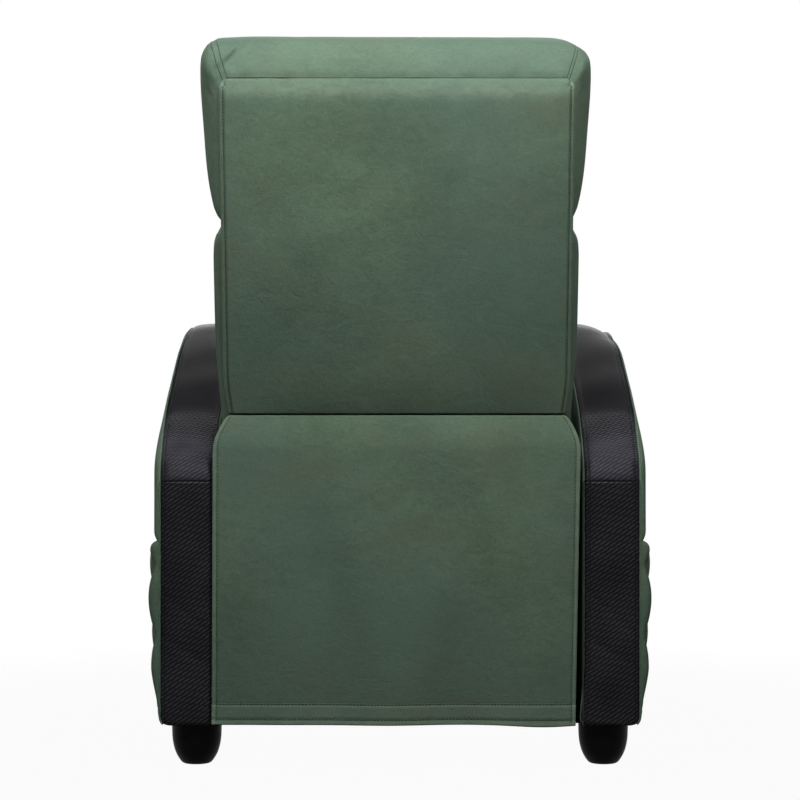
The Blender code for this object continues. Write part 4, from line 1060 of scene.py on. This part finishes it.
def meshPoints(piece, kind="co"):
    values = np.empty(len(piece.data.vertices) * 3)
    piece.data.vertices.foreach_get(kind, values)
    return values.reshape(-1, 3)


def setMeshPoints(piece, points):
    piece.data.vertices.foreach_set("co", np.asarray(points, float).ravel())
    piece.data.update()


def swell(holder, start, held):
    # cloth pressure on a closed skin, with some of its points held
    group = holder.vertex_groups.new(name="held")
    weight = np.clip(held(start), 0, 1)
    for value in (1.0, 0.5):
        chosen = np.nonzero((weight > value - 0.25) & (weight <= value + 0.25))[0]
        group.add(chosen.tolist(), value, "REPLACE")
    cloth = holder.modifiers.new("swelling", "CLOTH")
    for key, value in stuffing["cloth"].items():
        setattr(cloth.settings, key, value)
    cloth.settings.effector_weights.gravity = 0
    cloth.collision_settings.use_self_collision = False
    cloth.collision_settings.use_collision = False
    cloth.point_cache.frame_start, cloth.point_cache.frame_end = 1, stuffing["frames"]
    for number in range(1, stuffing["frames"] + 1):
        bpy.context.scene.frame_set(number)
    applyModifiers(holder)
    bpy.context.scene.frame_set(1)


def stuff(name, points, faces, held, limits):
    # remesh, swell under pressure with some points held, keep each move within its limits
    holder = meshObject(name, points, [faces], turnOut=True)
    remesh = holder.modifiers.new("even_mesh", "REMESH")
    remesh.mode, remesh.voxel_size = "VOXEL", stuffing["voxel"]
    applyModifiers(holder)
    start = meshPoints(holder)
    swell(holder, start, held)
    moved = meshPoints(holder)
    if len(moved) == len(start):
        move = moved - start
        print(name, "swelled", *(np.round(k * 1000, 1) for k in (move.min(0), move.max(0))))
        low, high = np.array(limits)
        move = np.where(move < 0, -low * np.tanh(-move / low), high * np.tanh(move / high))
        setMeshPoints(holder, start + move)
    smooth = holder.modifiers.new("finer", "SUBSURF")
    smooth.levels = smooth.render_levels = 1
    applyModifiers(holder)
    holder.data.polygons.foreach_set("use_smooth", np.ones(len(holder.data.polygons), bool))
    return holder


def surfaceRow(piece, guide, spacing=0.003, inward=None):
    # a guide line dropped on to a finished surface: straight inward from 60 mm outside it where
    # that way is given, else to the nearest place
    tree = BVHTree.FromObject(piece, bpy.context.evaluated_depsgraph_get())
    found = []
    for place in resample(guide, spacing):
        hit = (None,)
        if inward is not None:
            hit = tree.ray_cast(Vector(place - 0.06 * inward), Vector(inward), 0.14)
        found.append(tree.find_nearest(Vector(place)) if hit[0] is None else hit)
    path = evenOut(np.array([f[0] for f in found]), 3)
    if inward is None:
        path = np.array([tree.find_nearest(Vector(place))[0] for place in path])
    return path, unit(evenOut(np.array([f[1] for f in found]), 5))


def evenOut(values, reach):
    # each point takes the mean of its neighbours; the two ends stay
    first, last = np.repeat(values[:1], reach, 0), np.repeat(values[-1:], reach, 0)
    spare = np.concatenate([first, values, last])
    total = sum(spare[k:k + len(values)] for k in range(2 * reach + 1)) / (2 * reach + 1)
    total[0], total[-1] = values[0], values[-1]
    return total


def distanceToLine(points, line):
    # nearest distance from each point to a dense line, in blocks to spare memory
    nearest = np.full(len(points), 1e9)
    for block in np.array_split(line, max(1, len(line) // 40)):
        gap = np.linalg.norm(points[:, None] - block[None], axis=2).min(1)
        nearest = np.minimum(nearest, gap)
    return nearest


def pressSeams(piece, guides, depth, width):
    # sewn lines pulled into the stuffing along the surface's own direction
    points, normals = meshPoints(piece), meshPoints(piece, "normal")
    pull = np.zeros(len(points))
    for guide in guides:
        path, _ = surfaceRow(piece, guide, 0.0025)
        low, high = path.min(0) - 3 * width, path.max(0) + 3 * width
        near = np.nonzero(((points > low) & (points < high)).all(1))[0]
        gap = distanceToLine(points[near], path)
        pull[near] = np.maximum(pull[near], groove(gap, width))
    setMeshPoints(piece, points - normals * (pull * depth)[:, None])


backPad = {
    "half": np.array([0.2588, 0.073, 0.1708]),
    "centre": np.array([0.0055, -0.0085, 0.2234]),
    "round": 0.024,
    "widths": (
        (0, 0.955), (0.2, 0.966), (0.31, 0.974), (0.49, 1.0), (0.85, 1.005), (0.95, 0.985),
        (1, 0.95),
    ),
}
headPad = {
    "half": np.array([0.276, 0.0835, 0.1263]),
    "centre": np.array([0.0062, -0.0185, 0.5218]),
    "round": 0.022,
    "widths": (
        (0, 0.92), (0.1, 0.93), (0.16, 0.94), (0.28, 0.956), (0.39, 0.967), (0.51, 0.976),
        (0.63, 0.988), (0.72, 0.995), (0.82, 1.0), (0.93, 0.998), (1, 0.99),
    ),
    # the mitre over one half, from the rear panel to the lower front: sideways, rear, up
    "mitre": (
        (0.2378, 0.065, 0.6015), (0.2463, 0.045, 0.6241), (0.2538, 0.01, 0.6421),
        (0.26, -0.03, 0.6471), (0.2635, -0.072, 0.6421), (0.263, -0.098, 0.6121),
        (0.259, -0.106, 0.5481), (0.25, -0.102, 0.4555), (0.24, -0.09, 0.4115),
    ),
}


def backPadShape(pad, topHigh):
    # a rounded box whose rear rim is the rear panel's outline, swelling forward from it
    half, centre = pad["half"], pad["centre"]
    cube, placed, faces = roundedBox(half, pad["round"], 26)
    width = np.interp((cube[:, 2] + 1) / 2, *zip(*pad["widths"]))
    spaced = np.sin(cube * math.pi / 2)
    behind = np.sin(np.clip(cube[:, 1], 0, 1) * math.pi / 2)
    swelling = np.sqrt(np.maximum(1 - behind**2, 0)) ** 0.8
    flatX = spaced[:, 0] * np.minimum(panel["halfWidth"] - 0.001, half[0] * width)
    flatZ = spaced[:, 2] * half[2]
    flatZ = np.where(cube[:, 2] > 0, flatZ * (topHigh - centre[2]) / half[2], flatZ)
    x = flatX * (1 - swelling) + placed[:, 0] * width * swelling
    z = flatZ * (1 - swelling) + placed[:, 2] * swelling
    return backToWorld(xyz(x, placed[:, 1], z) + centre), faces


def makeHeadrest():
    low, high = headPad["centre"] - headPad["half"], headPad["centre"] + headPad["half"]
    rear, crest = high[1:]

    def held(at):
        own = worldToBack(at)
        flat = np.clip((own[:, 1] - rear + 0.009) / stuffing["heldFade"], 0, 1)
        under = np.clip((low[2] + 0.012 - own[:, 2]) / stuffing["heldFade"], 0, 1)
        under = under * (own[:, 1] > -0.04)
        return np.maximum(flat, under)

    limits = ((0.005, 0.026, 0.006), (0.005, 0.006, 0.0035))
    pad = stuff("headrest_cushion", *backPadShape(headPad, panel["high"]), held, limits)
    guides, threads = [], []
    mitre = smoothLine(headPad["mitre"], 0.004)
    for edge in (-1, 1):
        near = -0.0035 if edge > 0 else 0.0005
        for offset, lines in ((0, guides), (near, threads), (0.0045, threads)):
            line = (mitre + np.array([offset, 0, 0])) * np.array([edge, 1, 1])
            lines.append(backToWorld(line + np.array([headPad["centre"][0], 0, 0])))
    pressSeams(pad, guides, 0.0006, 0.0032)
    # soft gathers where the cover is sewn to the panel, one slack fold by the sitter's left mitre
    at, normals = meshPoints(pad), meshPoints(pad, "normal")
    x, own, up = worldToBack(at).T
    behind = np.clip((own - rear + 0.06) / 0.03, 0, 1)
    gather = np.sin(math.tau * x / 0.052 + 0.9) + 0.7 * np.sin(math.tau * x / 0.031 + 2.0)
    rise = up - panel["high"]
    slant = (x - 0.234) + (rise - 0.029) * 0.915
    fold = 0.0022 * groove(slant - 0.0075, 0.005) - 0.0042 * groove(slant, 0.0046)
    lift = 0.0011 * gather * groove(rise - 0.012, 0.012) + fold * groove(rise - 0.03, 0.015)
    at = at + normals * (lift * behind)[:, None]
    # the crest's left corner stands fuller and its right corner has settled
    tilt = 0.0036 * groove(x - 0.266, 0.018) - 0.0042 * groove(x + 0.262, 0.022) + 0.0028 * x
    at[:, 2] += np.clip((up - crest + 0.05) / 0.04, 0, 1) * tilt
    setMeshPoints(pad, at)
    upholster(pad, "back", 0.9, "headrest")
    for number, line in enumerate(threads):
        path, outward = surfaceRow(pad, line)
        name = "headrest_mitre_seam_" + str(number + 1)
        seam = tube(name, path - outward * 0.0001, 0.00055, 6)
        dress(seam, greenThread, "back")


makeHeadrest()
print("headrest made")


quilting = {
    "channelX": 0.135,
    "channelDepth": 0.007,
    "channelWidth": 0.005,
    "pitch": 0.09,
    "stitchOff": 0.006,  # from a channel or seam to the stitches beside it
}


def diamondHeight(a, b):
    # 1 on two sets of slanted seams, falling to 0 on the crowns between them
    pitch = quilting["pitch"]
    first, second = (np.abs(np.sin(np.pi * k / pitch)) for k in (a + b, a - b))
    nearest = np.minimum(first, second) * pitch / math.pi / math.sqrt(2)
    return 0.5 * groove(nearest, 0.0042) + 0.5 * (1 - (first * second) ** 0.5)


def inside(value, low, high, soft):
    return np.clip((value - low) / soft, 0, 1) * np.clip((high - value) / soft, 0, 1)


def diamondLines(half, low, high):
    # both sets of slanted seams inside a rectangle, as arrays of (a, b)
    lines, b = [], np.linspace(low, high, 80)
    for slant in (1, -1):
        for start in np.arange(-20, 21) * quilting["pitch"]:
            a = start + slant * b
            keep = np.abs(a) < half
            if keep.sum() > 6:
                lines.append(np.stack([a[keep], b[keep]], -1))
    return lines


def asItIs(points):
    return points


def quiltedPad(name, body, shape, pad, toOwn=asItIs, toWorld=asItIs):
    # a stuffed cushion drawn in at two channels, with diamonds sewn into the field between them.
    # In pad, measured in the cushion's own frame: "along" is the field's second axis, "start" its
    # zero and "level" the height of its surface; "board" is above 0 near the board that it lies on
    channelX, aside = quilting["channelX"], quilting["stitchOff"]
    middle, along, front = np.array([pad["middle"], 0, 0]), pad["along"], pad["front"]

    def held(at):
        own = toOwn(at) - middle
        channel = groove(np.abs(own[:, 0]) - channelX, quilting["channelWidth"]) * front(own)
        return np.maximum(np.clip(pad["board"](own) / stuffing["heldFade"], 0, 1), channel)

    made = stuff(name + "_cover", *shape, held, pad["limits"])
    channels = []
    for edge in (-1, 1):
        line = [(middle[0] + edge * channelX, *place) for place in pad["channel"]]
        channels.append(toWorld(smoothLine(line, 0.004)))
    seams = [smoothLine(line, 0.004) for line in pad.get("seams", ())]
    pressSeams(made, channels + seams, quilting["channelDepth"], quilting["channelWidth"])
    at, normals = meshPoints(made), meshPoints(made, "normal")
    own = toOwn(at) - middle
    a, b = own[:, 0], own[:, along] - pad["start"]
    mask = inside(a, 0.004 - channelX, channelX - 0.004, 0.01) * inside(b, *pad["field"], 0.02)
    sunk = pad["sunk"] * diamondHeight(a, b) * mask * front(own)
    setMeshPoints(made, at - normals * sunk[:, None])
    upholster(made, body, pad["fill"], name)
    rows = []
    for line in diamondLines(channelX - aside, *pad["lines"]):
        guide = np.full((len(line), 3), pad["level"])
        guide[:, 0], guide[:, along] = line[:, 0] + middle[0], line[:, 1] + pad["start"]
        rows.append(surfaceRow(made, toWorld(guide), 0.003, pad["inward"]))
    for line in channels:
        rows += [surfaceRow(made, line + np.array([k, 0, 0])) for k in (-aside, aside)]
    rows += [surfaceRow(made, line + np.array([0, 0, aside])) for line in seams]
    sew(pad["stitches"], rows, body)


def makeBackPad():
    low, high = backPad["centre"] - backPad["half"], backPad["centre"] + backPad["half"]
    front, rear, long = low[1], high[1], high[2] - low[2]
    shape = backPadShape(backPad, high[2])
    quiltedPad("back_cushion", "back", shape, {
        "stitches": "back_cushion_stitches",
        "fill": 0.85,
        "limits": ((0.0035, 0.024, 0.004), (0.0035, 0.004, 0.004)),
        "board": lambda own: own[:, 1] - rear + 0.03,
        "front": lambda own: own[:, 1] < -0.03,
        "channel": (
            (front + 0.03, low[2] + 0.012), (front - 0.01, low[2] + 0.05),
            (front - 0.014, high[2] - 0.06), (front + 0.02, high[2] - 0.008),
        ),
        "middle": backPad["centre"][0],
        "along": 2,
        "start": low[2],
        "level": front - 0.01,
        "field": (0.03, long - 0.03),
        "lines": (0.035, long - 0.035),
        "sunk": 0.009,
        "inward": turnToBack((0, 1, 0)),
    }, worldToBack, backToWorld)


def boxPad(low, high, trim, shift, radius, count, axis, end):
    # a rounded box within a cushion's bounds, flat where it lies on its board
    half = (high - low) / 2 - np.array(trim)
    cube, placed, faces = roundedBox(half, radius, count)
    placed[:, axis] = np.where(cube[:, axis] * end > 0.999, end * half[axis], placed[:, axis])
    return placed + (high + low) / 2 + np.array(shift), faces


def makeSeat():
    low, high = corners("seat_cushion")
    front, rear, top = low[1], high[1], high[2]
    middle, edge = (low[2] + top) / 2 - 0.0085, (high[0] - low[0]) / 2 - 0.0035
    shape = boxPad(low, high, (0.0035, 0.002, 0.009), (0, 0, -0.0085), 0.03, 30, 2, -1)
    quiltedPad("seat_cushion", "base", shape, {
        "stitches": "seat_cushion_stitches",
        "fill": 0.8,
        "limits": ((0.0025, 0.006, 0.002), (0.0025, 0.002, 0.022)),
        "board": lambda own: low[2] + 0.016 - own[:, 2],
        "front": lambda own: own[:, 2] > middle,
        "channel": (
            (front, low[2] + 0.02), (front, top - 0.045), (front + 0.03, top - 0.005),
            (front + 0.2, top), (rear - 0.05, top),
        ),
        "seams": [[(k * edge, front - 0.002 * (k == 0), top - 0.034) for k in (-1, 0, 1)]],
        "middle": 0,
        "along": 1,
        "start": front + 0.05,
        "level": top,
        "field": (0, rear - front - 0.09),
        "lines": (0.006, rear - front - 0.14),
        "sunk": 0.009,
        "inward": np.array([0, 0, -1.0]),
    })


def makeFootrest():
    low, high = corners("footrest_cushion")
    front, rear, long = low[1], high[1], high[2] - low[2]
    middle = (front + rear) / 2 + 0.006
    shape = boxPad(low, high, (0.003, 0.006, 0.003), (0, 0.006, 0), 0.024, 26, 1, 1)
    quiltedPad("footrest_cushion", "footrest", shape, {
        "stitches": "footrest_stitches",
        "fill": 0.8,
        "limits": ((0.0025, 0.014, 0.0025), (0.0025, 0.001, 0.0025)),
        "board": lambda own: own[:, 1] - rear + 0.016,
        "front": lambda own: own[:, 1] < middle,
        "channel": (
            (rear - 0.03, low[2]), (front + 0.01, low[2] + 0.02), (front, low[2] + 0.06),
            (front, high[2] - 0.06), (front + 0.01, high[2] - 0.02), (rear - 0.03, high[2]),
        ),
        "middle": 0,
        "along": 2,
        "start": low[2],
        "level": front,
        "field": (0.03, long - 0.03),
        "lines": (0.034, long - 0.034),
        "sunk": 0.008,
        "inward": np.array([0, 1.0, 0]),
    })


makeBackPad()
print("back cushion made")
makeSeat()
print("seat cushion made")
makeFootrest()
print("footrest cushion made")


# ---------- frame ----------
def dressFrame():
    finishes = {"plywood": barePly, "coated_steel": coatedSteel, "spring_wire": springSteel}
    for part in frame["record"]["subparts"]:
        if part["material_slot"] in finishes:
            for slot in frame["nodes"][part["node"]].material_slots:
                slot.material = finishes[part["material_slot"]]


spring = {"bends": 11, "steps": 460, "inset": 0.002, "square": 0.35, "wire": 0.0019}


def makeSprings():
    # a flat wave with squared bends, straight where it meets the rails
    along = np.linspace(0, 1, spring["steps"])
    wave = np.sin(along * (spring["bends"] + 1) * math.pi)
    wave = np.sign(wave) * np.abs(wave) ** spring["square"]
    fade = np.clip(np.minimum(along, 1 - along) / 0.05, 0, 1)
    for number in range(1, 5):
        name = "seat_spring_" + str(number)
        low, high = corners(name)
        middle, swing = (low + high) / 2, (high[0] - low[0]) / 2 - spring["inset"]
        x = middle[0] + swing * wave * fade
        path = xyz(x, low[1] + (high[1] - low[1]) * along, middle[2])
        wire = tube(name + "_wire", resample(path, 0.003), spring["wire"])
        dress(wire, springSteel, "base")
        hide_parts(name)


def lay(name, body, half, radius, place, count=14, finish=lining):
    # a thin rounded slab: a lining or cover drawn over part of the frame
    _, placed, faces = roundedBox(np.array(half), radius, count)
    points = placed + np.array(place)
    points = backToWorld(points) if body == "back" else points
    return dress(meshObject(name, points, [faces], turnOut=True), finish, body)


def makeFrameCovers():
    # covers drawn over the back's side rails and the seat's front rail, seen between cushions, in the darker copy
    # of the cover that paints their shade
    for sideName, side in sides:
        lay(
            "back_rail_cover_" + sideName, "back", (0.0125, 0.0195, 0.185), 0.004,
            (side * 0.2254, 0.0275, 0.385), 14, coverPaintedShade)
    front = corners("seat_front_rail")[0][1]
    lay(
        "seat_front_rail_cover", "base", (0.2578, 0.0022, 0.0196), 0.002,
        (0, front - 0.0026, 0.3558), 20, coverPaintedShade)
    # black linings over the footrest board, behind the curtain, at the back frame's foot, in
    # the gaps beside the seat and over the lower ends of the back's side rails
    low, high = corners("footrest_board")
    half, middle = (high - low) / 2 + 0.0004, (high + low) / 2
    lay("footrest_board_lining", "footrest", half, 0.0005, middle, 20)
    rear = corners("rear_cross_rail")[1][1]
    lay("rear_lining", "base", (0.2594, 0.0011, 0.1355), 0.001, (0, rear + 0.0015, 0.1935), 20)
    lay("back_frame_lining", "back", (0.2336, 0.0016, 0.0158), 0.0014, (0, 0.0052, 0.0358), 16)
    for sideName, side in sides:
        place = (side * 0.2493, 0.2004, 0.3835)
        lay("seat_corner_lining_" + sideName, "base", (0.0101, 0.0016, 0.047), 0.0014, place)
        place = (side * 0.21995, 0.0275, 0.11)
        lay("back_rail_lining_" + sideName, "back", (0.0141, 0.0198, 0.0905), 0.0008, place)


dressFrame()
makeSprings()
makeFrameCovers()
print("frame dressed")


# ---------- floor, light and camera ----------
stageFinish = {"floor": 0.04, "whiteShare": 0.955, "skyLight": 0.02}


def raysSeen(nodes):
    # 1 for what the camera, mirrors and glass see, 0 for light that falls on the chair
    rays = nodes.add("LightPath").outputs
    glass = nodes.calc("MAXIMUM", rays["Is Glossy Ray"], rays["Is Transmission Ray"])
    return nodes.calc("MAXIMUM", rays["Is Camera Ray"], glass)


def floorMaterial():
    # pale floor; the camera, mirrors and glass see it white, with the chair's soft shadow kept
    nodes = newMaterial("pale_floor")
    nodes.look(Base_Color=(stageFinish["floor"],) * 3 + (1,), Roughness=0.9, Specular_IOR_Level=0.0)
    white = nodes.add("Emission", {"Color": (1, 1, 1, 1), "Strength": 1.0}).outputs[0]
    place = nodes.add("SeparateXYZ", {0: nodes.place}).outputs
    away = nodes.calc("SQRT", nodes.plus(*(nodes.calc("POWER", place[k], 2.0) for k in (0, 1))))
    share = nodes.spread(away, 0.7, 1.5, stageFinish["whiteShare"], 1.0)
    pale = nodes.tree.nodes["Principled BSDF"].outputs[0]
    mixed = nodes.add("MixShader", {0: nodes.times(share, raysSeen(nodes)), 1: pale, 2: white})
    nodes.put(nodes.tree.nodes["Material Output"].inputs[0], mixed.outputs[0])
    return nodes.owner


def makeFloor():
    reach, low = 9.0, -0.0004
    ends = [(-reach, -reach, low), (reach, -reach, low), (reach, reach, low), (-reach, reach, low)]
    floor = meshObject("floor", ends, [[[0, 1, 2, 3]]])
    floor.data.materials.append(floorMaterial())


def makeWorld(strength):
    world = bpy.data.worlds.new("soft_room")
    bpy.context.scene.world = world
    nodes = nodeSet(world)
    sky = nodes.tree.nodes["Background"].inputs
    nodes.put(sky["Strength"], nodes.spread(raysSeen(nodes), 0.0, 1.0, strength, 1.0))
    sky["Color"].default_value = (1, 1, 1, 1)


lamps = {
    # place, target, size, power
    "key_softbox": ((0, 1.15, 1.75), (0, 0.3, 0.7), (1.9, 0.6), 48),
    "rear_fill": ((0, 3.6, 1.3), (0, 0.2, 0.4), (2.6, 1.6), 0.8),
    "front_fill": ((0, -3.2, 1.9), (0, -0.2, 0.5), (2.6, 1.8), 130),
    "left_fill": ((3.0, -0.25, 1.3), (0, -0.25, 0.5), (2.0, 1.6), 17),
    "right_fill": ((-3.0, -0.25, 1.3), (0, -0.25, 0.5), (2.0, 1.6), 7),
}


def softLamp(name, place, target, size, power):
    lamp = bpy.data.lights.new(name, "AREA")
    lamp.shape = "RECTANGLE"
    lamp.size, lamp.size_y = size
    lamp.energy = power
    made = bpy.data.objects.new(name, lamp)
    made.location = place
    made.rotation_euler = (Vector(target) - Vector(place)).to_track_quat("-Z", "Y").to_euler()
    made.visible_camera = False
    bpy.context.scene.collection.objects.link(made)


camera = {"away": 3.3, "height": 0.525, "lens": 103.95, "sensor": 36.0}


def makeCamera():
    lens = bpy.data.cameras.new("rear_camera")
    lens.lens, lens.sensor_width = camera["lens"], camera["sensor"]
    made = bpy.data.objects.new("rear_camera", lens)
    made.location = (0, armRear + camera["away"], camera["height"])
    made.rotation_euler = (math.pi / 2, 0, math.pi)
    bpy.context.scene.collection.objects.link(made)
    bpy.context.scene.camera = made


makeFloor()
makeWorld(stageFinish["skyLight"])
for name, values in lamps.items():
    softLamp(name, *values)
makeCamera()
bpy.context.scene.view_settings.view_transform = "Standard"
print("stage made")
